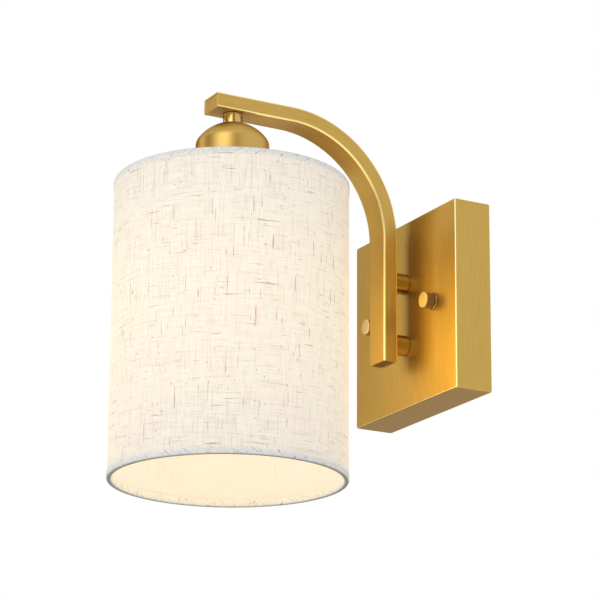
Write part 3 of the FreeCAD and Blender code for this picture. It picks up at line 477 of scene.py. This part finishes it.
def litCover():
    # natural flax laminated to a clear film. The bulb's light through it is strongest level
    # with the bulb and fades with the square of the distance from it, and thick yarn holds it
    # back.
    material, shader, cloth = wovenLinen("naturalLinen", coverLook)
    place = addNode(material, "TexCoord")
    parts = addNode(material, "SeparateXYZ", links={"Vector": (place, "Object")})
    level = addNode(material, "Math", {"operation": "SUBTRACT", 1: glow["height"] * millimetre},
                    {0: (parts, "Z")})
    near = addNode(material, "Math", {"operation": "DIVIDE", 1: glow["reach"] * millimetre},
                   {0: (level, "Value")})
    square = addNode(material, "Math", {"operation": "MULTIPLY"},
                     {0: (near, "Value"), 1: (near, "Value")})
    fade = addNode(material, "MapRange", {"From Min": 0.0, "From Max": glow["fade"],
                                          "To Min": 1.0, "To Max": glow["least"]},
                   {"Value": (square, "Value")})
    tint = addNode(material, "ValToRGB", links={"Fac": (square, "Value")}, stops=[
        (0.0, glow["colour"]), (1.0, glow["edge"])])
    power = addNode(material, "Math", {"operation": "MULTIPLY", 1: glow["strength"]},
                    {0: (fade, "Result")})
    feed(material, shader, {"Emission Color": tinted(material, (tint, "Color"), cloth),
                            "Emission Strength": (power, "Value")})
    return material


def litHem():
    # the same cloth cut on the bias. The wire stops the bulb's light at the fold, where the
    # cloth's colour is painted grey as shade under the fold; the inner side catches the light, with
    # its colour painted a little warm, and past the wire it comes through again up to the cut edge.
    material, shader, cloth = wovenLinen("biasLinenHem", hemLook)
    place = addNode(material, "UVMap", {"uv_map": "millimetres"})
    parts = addNode(material, "SeparateXYZ", links={"Vector": (place, "UV")})
    around = addNode(material, "Math", {"operation": "DIVIDE", 1: hemLightAndShade["girth"]},
                     {0: (parts, "Y")})
    # tone paints the shade under the fold and the warm inner side into the cloth's colour; tint and
    # power are the bulb's light
    tone, tint, power = (addNode(material, "ValToRGB", links={"Fac": (around, "Value")},
                                 stops=hemLightAndShade[places]) for places in ("tone", "tint", "power"))
    strength = addNode(material, "Math", {"operation": "MULTIPLY", 1: hemLightAndShade["strength"]},
                       {0: (power, "Color")})
    feed(material, shader, {"Base Color": tinted(material, (tone, "Color"), cloth),
                            "Emission Color": tinted(material, (tint, "Color"), cloth),
                            "Emission Strength": (strength, "Value")})
    return material


def litLiner():
    # cast shade film: matt white and lit, with the cover's yarns showing faintly through it
    material, shader, cloth = wovenLinen("mattShadeFilm", linerLook)
    warm = addNode(material, "Mix", {"data_type": "RGBA", "blend_type": "MULTIPLY", 0: 1.0,
                                     6: linearColour(linerLook["tint"])}, {7: cloth})
    feed(material, shader, {"Emission Color": (warm, 2)})
    shader.inputs["Emission Strength"].default_value = linerLook["strength"]
    return material


def frostedBulb():
    # acid-etched glass with the lamp lit: an even warm white, a little deeper at the neck
    material, shader = newMaterial("frostedGlassLit", {
        "Roughness": glassLook["roughness"], "Base Color": linearColour(glassLook["colour"]),
        "IOR": 1.5, "Emission Strength": glassLook["strength"]})
    place = addNode(material, "TexCoord")
    parts = addNode(material, "SeparateXYZ", links={"Vector": (place, "Object")})
    level = addNode(material, "MapRange", {"From Min": glassLook["low"],
                                           "From Max": glassLook["high"]},
                    {"Value": (parts, "Z")})
    tone = addNode(material, "ValToRGB", links={"Fac": (level, "Result")},
                   stops=glassLook["tone"])
    feed(material, shader, {"Emission Color": (tone, "Color")})
    return material


linen, hemLinen, shadeFilm, litGlass = litCover(), litHem(), litLiner(), frostedBulb()
print("materials made")


# backplate: a square pan of folded sheet, open towards the wall
plate = {"half": 60.0, "deep": 25.0, "wall": 1.2, "corner": 1.4, "edge": 0.6, "inner": 0.3,
         "rim": 0.25, "fold": 0.8, "cornerSteps": 5, "sideSteps": 8, "support": 0.004,
         "flat": 0.5}


def plateLoop(inset, out):
    # rounded square at a distance inside the plate's outline, at one distance from the wall:
    # an arc of a quarter turn at each corner and the straight side after it. Every loop has as
    # many points, so that loops join into a grid.
    half = plate["half"] - inset
    corner = min(max(plate["corner"] - inset, plate["inner"]), half)
    steps = np.linspace(0, math.pi / 2, plate["cornerSteps"] + 1)
    runs = np.concatenate([[plate["support"]], np.linspace(0, 1, plate["sideSteps"] + 1)[1:-1],
                           [1 - plate["support"]]])
    points = []
    for quarter in range(4):
        turn = quarter * math.pi / 2
        arc = np.stack([half - corner + corner * np.cos(steps),
                        half - corner + corner * np.sin(steps)], axis=1)
        start, stop = arc[-1], np.array([-(half - corner), half])
        straight = start + (stop - start) * runs[:, None]
        spin = np.array([[math.cos(turn), math.sin(turn)], [-math.sin(turn), math.cos(turn)]])
        points.append(np.vstack([arc, straight]) @ spin)
    flat = np.vstack(points)
    return np.stack([flat[:, 0], np.full(len(flat), -out), flat[:, 1]], axis=1)


def makePlate():
    # profile (inset, distance from the wall) from the rear rim over the front to its middle,
    # then back on the inside, with a loop of the square at each of its points
    deep, wall, half = plate["deep"], plate["wall"], plate["half"]
    flat = half * plate["flat"]
    outside = roundedLine([(wall, 0), (0, 0, plate["rim"]), (0, deep, plate["edge"]),
                           (flat, deep)])
    front = np.array([((flat + half) / 2, deep), (half, deep)])
    inside = roundedLine([(half, deep - wall), (flat, deep - wall),
                          (wall, deep - wall, plate["fold"]), (wall, 0)])
    profile = np.vstack([outside, front, inside[:-1]])
    grid = np.stack([plateLoop(inset, out) for inset, out in profile], axis=1)
    # the front's folds get the painted highlight of the rubbed edges
    folds = bends(profile) * (profile[:, 0] < flat) * (profile[:, 1] > deep / 2)
    buffedHighlight = np.repeat(folds[None, :], grid.shape[0], axis=0)
    # grinding lines run up the front and both sides
    whole = np.concatenate([grid, grid[:1]])
    whole = np.concatenate([whole, whole[:, :1]], axis=1)
    upright = np.stack([whole[..., 0] + whole[..., 1], whole[..., 2]], axis=2)
    piece = surface("backplateShell", grid, upright, buffedHighlight=buffedHighlight)
    finish(piece, satinBrass, "fixture", "backplate")


makePlate()
print("backplate made")


# arm: a rectangular tube with one bend, and a cap let into each end
armLow, armHigh = nodeBox("arm_tube")
arm = {"wide": armHigh[0] - armLow[0], "thick": 9.6, "wall": 1.2, "corner": 0.9, "bend": 70.0,
       "foot": armLow[2], "reach": -armLow[1], "seam": 0.05, "capDeep": 2.0, "capEdge": 0.25,
       "capLow": 0.1, "capPattern": 0.4, "innerCorner": 0.2, "capCorner": 0.3, "lip": 0.25,
       "bendSteps": 48, "support": 0.4}
arm["middle"] = -armHigh[1] + arm["thick"] / 2
arm["top"] = armHigh[2] - arm["thick"] / 2


def armRoute():
    # up the wall side, round a quarter circle and out to the tip: (out, up) and the lean of each
    bendUp = arm["top"] - arm["bend"]
    up = np.array([arm["foot"], arm["foot"] + arm["support"], 0.0, bendUp])
    angle = np.linspace(0, math.pi / 2, arm["bendSteps"] + 1)[1:]
    out = arm["middle"] + arm["bend"] * (1 - np.cos(angle))
    rise = bendUp + arm["bend"] * np.sin(angle)
    run = np.array([0.5 * (out[-1] + arm["reach"]), arm["reach"] - arm["support"],
                    arm["reach"]])
    centre = np.vstack([np.stack([np.full(len(up), arm["middle"]), up], axis=1),
                        np.stack([out, rise], axis=1),
                        np.stack([run, np.full(len(run), arm["top"])], axis=1)])
    lean = np.concatenate([np.zeros(len(up)), angle, np.full(len(run), math.pi / 2)])
    return centre, lean


def armSection(inset, corner):
    # the tube's rounded rectangle, drawn in by an inset
    half = arm["wide"] / 2 - inset
    thick = arm["thick"] / 2 - inset
    return roundedLine([(-half, -thick, corner), (half, -thick, corner), (half, thick, corner),
                        (-half, thick, corner)], closed=True, steps=4)


def makeArm():
    # rounded rectangle carried along the route, outside there and inside back: each of its
    # points is the route's point plus its own depth turned by the lean
    centre, lean = armRoute()
    outer = armSection(0, arm["corner"])
    inner = armSection(arm["wall"], arm["innerCorner"])
    loops = []
    for side, order in ((outer, slice(None)), (inner, slice(None, None, -1))):
        middle, turn = centre[order], lean[order]
        x = np.repeat(side[:, :1], len(middle), axis=1)
        out = middle[None, :, 0] + side[:, 1:] * np.cos(turn)[None, :]
        up = middle[None, :, 1] - side[:, 1:] * np.sin(turn)[None, :]
        loops.append(np.stack([x, -out, up], axis=2))
    grid = np.concatenate(loops, axis=1)
    walked = runLength(np.vstack([grid[0], grid[0][:1]]))
    around = runLength(np.vstack([outer, outer[:1]]))
    # the tube's rounded corners get the painted highlight of the rubbed edges
    buffedHighlight = np.repeat(bends(outer)[:, None], grid.shape[1], axis=1)
    piece = surface("armTube", grid, patternGrid(around, walked), buffedHighlight=buffedHighlight)
    bevel = piece.modifiers.new("easedLip", "BEVEL")
    bevel.width = arm["lip"] * millimetre
    bevel.segments = 2
    bevel.limit_method = "ANGLE"
    bevel.angle_limit = math.radians(60)
    finish(piece, satinBrass, "fixture", "arm_tube")


def makeCap(name, node, place, lean, material):
    # a plate with eased edges, let into the tube's end with a fine seam round it: the section
    # drawn in by an inset and laid at a depth, from the middle over the edge to the back
    section = armSection(arm["wall"] + arm["seam"], arm["capCorner"])
    reach = np.abs(section).max(axis=0)
    outline = np.array([(arm["wide"], 0.0), (arm["capEdge"], 0.0), (0.0, arm["capEdge"]),
                        (0.0, arm["capDeep"]), (arm["wide"], arm["capDeep"])])
    rings = []
    for inset, deep in outline:
        # an inset as wide as the tube is the middle of the plate
        ring = section * np.maximum(1 - inset / reach, 0.0)
        out = place[0] + ring[:, 1] * math.cos(lean) - deep * math.sin(lean)
        up = place[1] - ring[:, 1] * math.sin(lean) + deep * math.cos(lean)
        rings.append(np.stack([ring[:, 0], -out, up], axis=1))
    grid = np.stack(rings, axis=1)
    around = runLength(np.vstack([grid[:, 1], grid[:1, 1]]))
    walked = runLength(outline * (arm["capPattern"], 1))
    piece = surface(name, grid, patternGrid(around, walked), closed=False)
    finish(piece, material, "fixture", node)


makeArm()
makeCap("armTipCap", "arm_tip_cap", (arm["reach"] - arm["capLow"], arm["top"]), math.pi / 2,
        satinBrass)
makeCap("armFootCap", "arm_foot_cap", (arm["middle"], arm["foot"] + arm["capLow"]), 0.0,
        footBrassPaintedShade)
print("arm made")


# posts that hold the arm off the plate, and the nuts with their washers on two studs
post = {"radius": 6.5, "from": plate["deep"], "to": 35.65, "up": 20.0, "edge": 0.5,
        "support": 0.3, "upperBore": 5.2, "lowerBore": 2.6}
washer = {"from": plate["deep"], "to": 26.9, "radius": 5.4, "boreEdge": 0.1, "footEdge": 0.15,
          "topEdge": 0.45}
nut = {"studSide": 34.925, "bore": 2.05, "from": 27.0, "to": 33.3, "radius": 5.0, "ribs": 26,
       "ribDeep": 0.35, "stepsPerRib": 8, "edge": 0.1, "step": 0.5, "baseHigh": 0.5,
       "barrelFrom": 0.7, "noseHigh": 1.1, "noseEdge": 0.15, "grooveFrom": 0.25,
       "grooveTo": 0.55, "faceFrom": 0.7, "faceIn": 0.15, "crown": 0.05, "crownIn": 0.2,
       "blind": 1.2, "ribPower": 1.5, "ribRim": 0.3, "ribPast": 0.05, "cutTo": 0.4}


def makePosts():
    # a turned bush: straight side, flat ends and eased edges, carried round the post's axis
    profile = roundedLine([(post["upperBore"], post["from"]),
                           (post["radius"], post["from"], post["edge"]),
                           (post["radius"], post["to"], post["edge"]),
                           (post["upperBore"], post["to"])], support=post["support"])
    for word, side in (("upper", 1), ("lower", -1)):
        profile[[0, -1], 0] = post[word + "Bore"]
        piece = lathe(word + "Post", profile, (0, 0, side * post["up"]), "room")
        finish(piece, postBrass, "fixture", word + "_post")


def nutOutline():
    # base with a step, barrel, groove and slightly domed face, then the blind bore
    start, end, radius = nut["from"], nut["to"], nut["radius"]
    narrow, nose, edge = radius - nut["step"], end - nut["noseHigh"], nut["edge"]
    outside = roundedLine([
        (nut["bore"], start), (narrow, start, edge), (narrow, start + nut["baseHigh"], edge / 2),
        (radius, start + nut["barrelFrom"], edge), (radius, nose, nut["noseEdge"]),
        (narrow, nose + nut["grooveFrom"], edge), (narrow, nose + nut["grooveTo"], edge),
        (radius - nut["faceIn"], nose + nut["faceFrom"], edge),
        (radius - nut["crownIn"], end - nut["crown"], nut["crownIn"]), (radius / 2, end),
        (0, end)], steps=3)
    return np.vstack([outside, [(0, end - nut["blind"]), (nut["bore"], end - nut["blind"])]])


def knurl(radius, height, angle):
    # upright ribs on the barrel alone: each is a raised cosine of the turn, to a power
    low = nut["from"] + nut["barrelFrom"] - nut["edge"]
    high = nut["to"] - nut["noseHigh"] + nut["ribPast"]
    onBarrel = (height > low) & (height < high) & (radius > nut["radius"] - nut["ribRim"])
    tooth = 0.5 - 0.5 * np.cos(angle * nut["ribs"])
    return radius - onBarrel * nut["ribDeep"] * tooth ** nut["ribPower"], height


def makeNut(word, side):
    centre = (side * nut["studSide"], 0, 0)
    bore, low, high, radius = nut["bore"], washer["from"], washer["to"], washer["radius"]
    ring = lathe(word + "Washer", roundedLine([
        (bore, low, washer["boreEdge"]), (radius, low, washer["footEdge"]),
        (radius, high, washer["topEdge"]), (bore, high, washer["boreEdge"])], closed=True),
        centre, "room")
    finish(ring, knurlBrass, word + "_washer", word + "_nut_washer")
    piece = lathe(word + "ThumbNut", nutOutline(), centre, "room", ripple=knurl,
                  turns=nut["ribs"] * nut["stepsPerRib"], smoothAngle=50)
    finish(piece, nutFaceBrass, word + "_nut", word + "_thumb_nut")
    # all but the face and the lip behind it takes the darker knurl brass
    piece.data.materials.append(knurlBrass)
    middles = np.empty(len(piece.data.polygons) * 3)
    piece.data.polygons.foreach_get("center", middles)
    faceFrom = nut["to"] - nut["noseHigh"] + nut["cutTo"]
    onSide = -middles.reshape(-1, 3)[:, 1] < faceFrom * millimetre
    piece.data.polygons.foreach_set("material_index", onSide.astype(np.int32))


makePosts()
makeNut("left", -1)
makeNut("right", 1)
print("hardware made")


# neck collar and spun cup, under the arm's tip
cupLow, cupHigh = nodeBox("socket_cup")
neck = {"out": -(cupLow[1] + cupHigh[1]) / 2, "radius": 6.0, "lipRadius": 6.3, "lipHigh": 1.0,
        "bore": 5.0, "high": 6.55, "edge": 0.1, "lipEdge": 0.15, "lipTop": 0.35,
        "lipRound": 0.2, "top": arm["top"] - arm["thick"] / 2}
neck["foot"] = neck["top"] - neck["high"]
neckCentre = (0, -neck["out"], 0)
cup = {"radius": (cupHigh[0] - cupLow[0]) / 2, "dome": 26.2, "shoulder": 6.0, "rim": cupLow[2],
       "wall": 0.8, "steps": 18, "rimEase": 0.12, "rimRise": 0.08, "under": 1.0,
       "support": 0.4}
domeMiddle = neck["foot"] - math.sqrt(cup["dome"] ** 2 - neck["radius"] ** 2)


def domeHeight(radius):
    # height of the cup's sphere over a radius, which the collar's foot follows
    return domeMiddle + math.sqrt(cup["dome"] ** 2 - radius ** 2)


def makeCollar():
    # a turned ring with a lip at its top, cut below to the sphere
    bore, side, lipSide, top = neck["bore"], neck["radius"], neck["lipRadius"], neck["top"]
    lipFoot = top - neck["lipHigh"]
    profile = roundedLine([
        (bore, domeHeight(bore)), (side, domeHeight(side), neck["edge"]),
        (side, lipFoot, neck["lipEdge"]), (lipSide, lipFoot + neck["lipEdge"], neck["lipEdge"]),
        (lipSide, top - neck["lipTop"], neck["lipRound"]),
        (side - neck["edge"], top, neck["edge"]), (bore, top)], closed=True, steps=4)
    piece = lathe("neckCollar", profile, neckCentre, turns=128)
    finish(piece, collarBrass, "fixture", "neck_collar")


def cupLine(shrink):
    # a sphere's cap, a tighter shoulder tangent to it, then straight down to the rim
    dome, shoulder = cup["dome"] - shrink, cup["shoulder"] - shrink
    side = cup["radius"] - cup["shoulder"]
    rise = math.sqrt((cup["dome"] - cup["shoulder"]) ** 2 - side ** 2)
    lean = math.atan2(rise, side)
    crown = np.linspace(math.acos(neck["bore"] / dome), lean, cup["steps"])
    bow = np.linspace(lean, 0, cup["steps"])[1:]
    line = [np.stack([dome * np.cos(crown), domeMiddle + dome * np.sin(crown)], axis=1),
            np.stack([side + shoulder * np.cos(bow), domeMiddle + rise + shoulder * np.sin(bow)],
                     axis=1),
            np.array([[cup["radius"] - shrink, domeMiddle + rise - cup["under"]],
                      [cup["radius"] - shrink, cup["rim"] + cup["support"]]])]
    return np.vstack(line)


def makeCup():
    # the outline and its inner offset by the wall, joined round an eased rim
    outer, inner = cup["radius"], cup["radius"] - cup["wall"]
    rim = np.array([[outer - cup["rimEase"], cup["rim"] + cup["rimRise"]],
                    [(outer + inner) / 2, cup["rim"]],
                    [inner + cup["rimEase"], cup["rim"] + cup["rimRise"]]])
    profile = np.vstack([cupLine(0), rim, cupLine(cup["wall"])[::-1]])
    piece = lathe("socketCup", profile, neckCentre, turns=160)
    finish(piece, spunBrass, "fixture", "socket_cup")


makeCollar()
makeCup()
print("neck and cup made")


# shade: linen cover on a film, with a cloth hem over each wire ring
topLow, topHigh = nodeBox("top_hem")
footLow = nodeBox("bottom_hem")[0]
shade = {"radius": (topHigh[0] - topLow[0]) / 2, "top": topHigh[2], "foot": footLow[2],
         "hemHigh": 4.0, "hemThick": 0.35, "hemRound": 1.1, "hemInnerRound": 0.8, "cover": 0.4,
         "film": 0.4, "wire": 0.9, "seamWide": 9.0, "seamProud": 0.15, "seamEdge": 0.6,
         "turns": 360, "levels": 60, "gluedLap": 10.0, "turnedIn": 4.0}
shade["coverRadius"] = shade["radius"] - shade["hemThick"]
shade["coverSpan"] = (shade["foot"] + shade["hemThick"], shade["top"] - shade["hemThick"])
# slow waves of the cover: depth in millimetres, count round it and twist per millimetre
coverWaves = ((0.05, 3, 0.02), (0.04, 7, -0.05))
# unevenness of a hem: its waves round the ring, and their depth on the roll and at the cut edge
hemWaves = {"count": 14, "fewest": 5, "most": 70, "turn": 6.28, "least": 0.2, "share": 6,
            "roll": 0.05, "cut": 0.22}


def lapped(radius, height, angle):
    # the overlap stands proud at the back; slow waves keep the tube from being perfect
    across = (angle - math.pi / 2) * shade["coverRadius"]
    edge = np.clip((shade["seamWide"] / 2 - np.abs(across)) / shade["seamEdge"], 0, 1)
    outer = radius > shade["coverRadius"] - shade["cover"] / 2
    wave = sum(deep * np.sin(count * angle + twist * height) for deep, count, twist in coverWaves)
    return radius + outer * edge * shade["seamProud"] + wave, height


def makeCover():
    # outer cloth: a straight tube, closed by a lapped seam that faces the wall
    levels = np.linspace(*shade["coverSpan"], shade["levels"])
    profile = np.vstack([
        np.stack([np.full(len(levels), shade["coverRadius"]), levels], axis=1),
        np.stack([np.full(len(levels), shade["coverRadius"] - shade["cover"]), levels[::-1]],
                 axis=1)])
    piece = lathe("linenCover", profile, neckCentre, turns=shade["turns"], ripple=lapped)
    return finish(piece, linen, "shade", "linen_cover")


def makeFilm():
    # a straight tube inside the cloth
    outer, (low, high) = shade["coverRadius"] - shade["cover"], shade["coverSpan"]
    inner = outer - shade["film"]
    piece = lathe("shadeFilm", [(outer, low), (outer, high), (inner, high), (inner, low)],
                  neckCentre, turns=shade["turns"])
    return finish(piece, shadeFilm, "shade", "shade_liner")


def makeHem(name, node, edge, away, seed):
    # cloth folded over the wire: a U section with a round back, a little uneven on its way
    outer, thick, high = shade["radius"], shade["hemThick"], shade["hemHigh"]
    inner = outer - 2 * thick - shade["cover"] - shade["film"] - 2 * shade["wire"]
    outRound, inRound = shade["hemRound"], shade["hemInnerRound"]
    outside = roundedLine([(inner, high), (inner, 0, outRound), (outer, 0, outRound),
                           (outer, high)], steps=7)
    inside = roundedLine([(outer - thick, high), (outer - thick, thick, inRound),
                          (inner + thick, thick, inRound), (inner + thick, high)], steps=7)
    profile = np.vstack([outside, inside])
    profile[:, 1] = edge + away * profile[:, 1]
    draw = np.random.default_rng(seed)
    waves = [(int(draw.integers(hemWaves["fewest"], hemWaves["most"])),
              draw.uniform(0, hemWaves["turn"]), draw.uniform(hemWaves["least"], 1.0))
             for step in range(hemWaves["count"])]

    def uneven(radius, height, angle):
        drift = sum(size * np.sin(count * angle + start)
                    for count, start, size in waves) / hemWaves["share"]
        cut = np.clip((height - edge) * away / high, 0, 1)
        return radius + hemWaves["roll"] * drift, height + away * cut ** 3 * hemWaves["cut"] * drift

    piece = lathe(name, profile, neckCentre, turns=shade["turns"], ripple=uneven)
    return finish(piece, hemLinen, "shade", node)


cover = makeCover()
film = makeFilm()
topHem = makeHem("topHem", "top_hem", shade["top"], -1, 5)
bottomHem = makeHem("bottomHem", "bottom_hem", shade["foot"], 1, 8)
print("shade made")


# bulb
glassLow, glassHigh = nodeBox("bulb_glass")
bulb = {"globe": 30.0, "end": glassLow[2], "flare": 50.0, "neck": 13.6, "taper": 0.6,
        "foot": glassHigh[2], "wall": 0.8, "globeSteps": 40, "flareSteps": 14}


def bulbLine(shrink):
    # globe, a hollow flare tangent to it that turns from the globe's slope to upright, and a
    # slightly tapered neck
    globe = bulb["globe"] - shrink
    centre = bulb["end"] + bulb["globe"]
    flare = math.radians(bulb["flare"])
    ball = np.linspace(-math.pi / 2, flare, bulb["globeSteps"])
    sweep = (bulb["globe"] * math.cos(flare) - bulb["neck"]) / (1 - math.sin(flare))
    middle = (bulb["neck"] + sweep, centre + bulb["globe"] * math.sin(flare)
              + sweep * math.cos(flare))
    turn = np.linspace(flare, math.pi / 2, bulb["flareSteps"])[1:]
    hollow = sweep + shrink
    arc = np.stack([middle[0] - hollow * np.sin(turn), middle[1] - hollow * np.cos(turn)], axis=1)
    return np.vstack([np.stack([globe * np.cos(ball), centre + globe * np.sin(ball)], axis=1), arc,
                      [[bulb["neck"] - bulb["taper"] - shrink, bulb["foot"]]]])


def makeBulb():
    # the outline and its inner offset by the wall, closed at the pole
    profile = np.vstack([bulbLine(0), bulbLine(bulb["wall"])[::-1]])
    profile[[0, -1], 0] = 0.0
    finish(lathe("bulbGlass", profile, neckCentre), litGlass, "bulb", "bulb_glass")


makeBulb()
print("bulb made")


# the inner parts keep their CAD shapes
for material, nodeNames in (
        (zincPlate, ("crossbar", "mounting_studs", "stud_locknuts", "upper_post_nipple",
                     "upper_post_locknuts", "lower_post_screw", "lower_post_nut", "neck_nipple",
                     "neck_locknut")),
        (greenScrew, ("ground_screw",)),
        (phenolic, ("lampholder_cap", "lampholder_body", "retaining_ring")),
        (stampedBrass, ("screw_shell", "centre_contact", "lead_terminals")),
        (rolledAluminium, ("bulb_cap",)),
        (blackGlass, ("bulb_insulator",)),
        (dullSolder, ("bulb_contact",)),
        (whitePowder, ("spider_hub", "spider_arms", "top_wire_ring", "bottom_wire_ring")),
        (blackSleeve, ("live_lead",)),
        (whiteSleeve, ("neutral_lead",)),
        (greenSleeve, ("ground_lead",)),
        (orangeCap, ("wire_connectors",))):
    for nodeName in nodeNames:
        repaint(nodeName, material)
print("inner parts finished")


# studio, in metres, watts and strengths where 1 is plain white
studio = {"floor": -1.6, "floorWide": 160.0, "paper": "FBFAF8", "roughness": 0.9,
          "lift": 0.26, "ambient": 0.79}
softboxTarget = (0, -0.11, 0)
softboxes = [
    {"name": "keySoftbox", "place": (1.1, -1.5, 0.9), "size": (0.9, 1.5), "power": 7.0},
    {"name": "fillSoftbox", "place": (-1.2, -1.7, 0.3), "size": (1.2, 1.8), "power": 1.2}]

# cards that gloss alone sees: the pale ones draw the highlights on the brass, and the brown and
# dark ones the deep tones that it takes from a room
highTarget, lowTarget = (0, -0.05, 0.1), (0, -0.05, -0.1)
cards = [
    {"name": "paleLeftCard", "place": (-1.05, -1.13, 0.45), "target": highTarget,
     "size": (0.55, 1.3), "tone": "E8E2DA", "strength": 2.15},
    {"name": "brownFrontCard", "place": (-0.42, -1.43, 0.5), "target": highTarget,
     "size": (0.75, 1.1), "tone": "7A6238", "strength": 1.0},
    {"name": "brownSideCard", "place": (1.34, -0.52, 0.5), "target": highTarget,
     "size": (0.55, 1.1), "tone": "A07C40", "strength": 1.0},
    {"name": "paleFrontCard", "place": (0.58, -1.6, 0.55), "target": highTarget,
     "size": (0.4, 1.3), "tone": "FFFDF5", "strength": 2.4},
    {"name": "darkLowCard", "place": (-1.05, 0.1, -0.8), "target": lowTarget,
     "size": (1.6, 0.95), "tone": "8A7250", "strength": 1.0},
    {"name": "brownRearCard", "place": (-1.5, -0.08, 0.4), "target": highTarget,
     "size": (2.2, 1.2), "tone": "8A7A60", "strength": 1.0}]

# the lit shade in the brass: millimetres, and strengths as the cards'
shadeLight = {"clear": 0.6, "inset": 6.0, "full": -30.0, "colour": "FFD884", "strength": 3.3,
              "least": 1.0, "topColour": "FFE2B0", "topStrength": 1.9}

# camera, placed by fitting a pinhole to the photo's edges: metres, degrees, pixels and the
# sensor's millimetres
view = {"place": (1.42076, -0.88106, -0.48861), "turn": 61.19, "rise": 16.73, "roll": 0.38,
        "focal": 2768.98, "image": 600, "sensor": 36.0, "near": 0.05, "far": 50}


def seenRays(owner):
    # 1 for a ray from the camera, a mirrored one or one through glass, else 0
    path = addNode(owner, "LightPath")
    seen = addNode(owner, "Math", {"operation": "MAXIMUM"},
                   {0: (path, "Is Camera Ray"), 1: (path, "Is Glossy Ray")})
    either = addNode(owner, "Math", {"operation": "MAXIMUM"},
                     {0: (seen, "Value"), 1: (path, "Is Transmission Ray")})
    return (either, "Value")


def flatPiece(name, size, level=0.0):
    # a plain rectangle that faces up
    x, y = size[0] / 2, size[1] / 2
    mesh = bpy.data.meshes.new(name)
    mesh.from_pydata([(-x, -y, level), (x, -y, level), (x, y, level), (-x, y, level)], [],
                     [(0, 1, 2, 3)])
    return newObject(name, mesh)


def makeFloor():
    # pale paper that shows as plain white to the camera and to gloss, and keeps its shadow
    piece = flatPiece("floor", (studio["floorWide"], studio["floorWide"]), studio["floor"])
    material, shader = newMaterial("palePaper", {
        "Roughness": studio["roughness"], "Base Color": linearColour(studio["paper"]),
        "Specular IOR Level": 0.0, "Emission Color": (1, 1, 1, 1)})
    lift = addNode(material, "Math", {"operation": "MULTIPLY", 1: studio["lift"]},
                   {0: seenRays(material)})
    feed(material, shader, {"Emission Strength": (lift, "Value")})
    piece.data.materials.append(material)


def makeWorld():
    # even white light that shows as plain white itself
    world = bpy.data.worlds.new("softStudio")
    bpy.context.scene.world = world
    world.use_nodes = True
    world.node_tree.nodes.clear()
    plain = addNode(world, "Background", {"Color": (1, 1, 1, 1), "Strength": studio["ambient"]})
    white = addNode(world, "Background", {"Color": (1, 1, 1, 1), "Strength": 1.0})
    mix = addNode(world, "MixShader", links={0: seenRays(world), 1: (plain, "Background"),
                                             2: (white, "Background")})
    addNode(world, "OutputWorld", links={"Surface": (mix, "Shader")})


def aim(thing, place, target):
    # put a lamp or card at its place and turn its face to the target
    thing.location = place
    thing.rotation_mode = "QUATERNION"
    thing.rotation_quaternion = (Vector(target) - Vector(place)).to_track_quat("-Z", "Y")


def makeLamp(name, place, size, power):
    lamp = bpy.data.lights.new(name, "AREA")
    lamp.shape = "RECTANGLE"
    lamp.size, lamp.size_y = size
    lamp.energy = power
    aim(newObject(name, lamp), place, softboxTarget)


def seenByGloss(piece, tone, strength):
    # only gloss sees the piece, as with the cards of a studio for polished metal
    material, shader = newMaterial(piece.name + "Light", {
        "Base Color": (0, 0, 0, 1), "Roughness": 1.0, "Specular IOR Level": 0.0,
        "Emission Color": linearColour(tone), "Emission Strength": strength})
    piece.data.materials.append(material)
    piece.visible_camera = False
    piece.visible_diffuse = False
    piece.visible_shadow = False
    piece.visible_transmission = False
    return material, shader


def makeCard(name, place, target, size, tone, strength):
    card = flatPiece(name, size)
    aim(card, place, target)
    seenByGloss(card, tone, strength)


def makeShadeLight():
    # the lit shade throws warm light on the brass: a glowing tube just outside the cloth,
    # strongest below and level with the bulb
    out = shade["radius"] + shadeLight["clear"]
    low, high = shade["foot"] + shadeLight["inset"], shade["top"] - shadeLight["inset"]
    tube = lathe("shadeLight", [(out, low), (out, high)], neckCentre, closed=False)
    material, shader = seenByGloss(tube, shadeLight["colour"], shadeLight["strength"])
    place = addNode(material, "TexCoord")
    parts = addNode(material, "SeparateXYZ", links={"Vector": (place, "Object")})
    power = addNode(material, "MapRange", {
        "interpolation_type": "SMOOTHSTEP", "From Min": shadeLight["full"] * millimetre,
        "From Max": high * millimetre, "To Min": shadeLight["strength"],
        "To Max": shadeLight["least"]}, {"Value": (parts, "Z")})
    feed(material, shader, {"Emission Strength": (power, "Result")})


def makeTopLight():
    # the open top of the lit shade, a disc that shines on the underside of the arm
    low = shade["top"] - shadeLight["inset"]
    disc = lathe("shadeTopLight", [(0, low), (shade["radius"] - shadeLight["inset"], low)],
                 neckCentre, closed=False)
    seenByGloss(disc, shadeLight["topColour"], shadeLight["topStrength"])


def makeCamera():
    # ahead, right and over are worked out from the turn, the rise and the roll
    turn, rise, roll = (math.radians(view[word]) for word in ("turn", "rise", "roll"))
    ahead = Vector((-math.sin(turn) * math.cos(rise), math.cos(turn) * math.cos(rise),
                    math.sin(rise)))
    right = Vector((math.cos(turn), math.sin(turn), 0))
    up = right.cross(ahead)
    across = math.cos(roll) * right + math.sin(roll) * up
    over = -math.sin(roll) * right + math.cos(roll) * up
    lens = bpy.data.cameras.new("camera")
    lens.sensor_width = view["sensor"]
    lens.lens = view["focal"] / view["image"] * view["sensor"]
    lens.clip_start, lens.clip_end = view["near"], view["far"]
    thing = newObject("camera", lens)
    matrix = Matrix((across, over, -ahead)).transposed().to_4x4()
    matrix.translation = view["place"]
    thing.matrix_world = matrix
    bpy.context.scene.camera = thing


makeFloor()
makeWorld()
for softbox in softboxes:
    makeLamp(**softbox)
for card in cards:
    makeCard(**card)
makeShadeLight()
makeTopLight()
makeCamera()
bpy.context.scene.view_settings.view_transform = "Standard"
print("studio made")
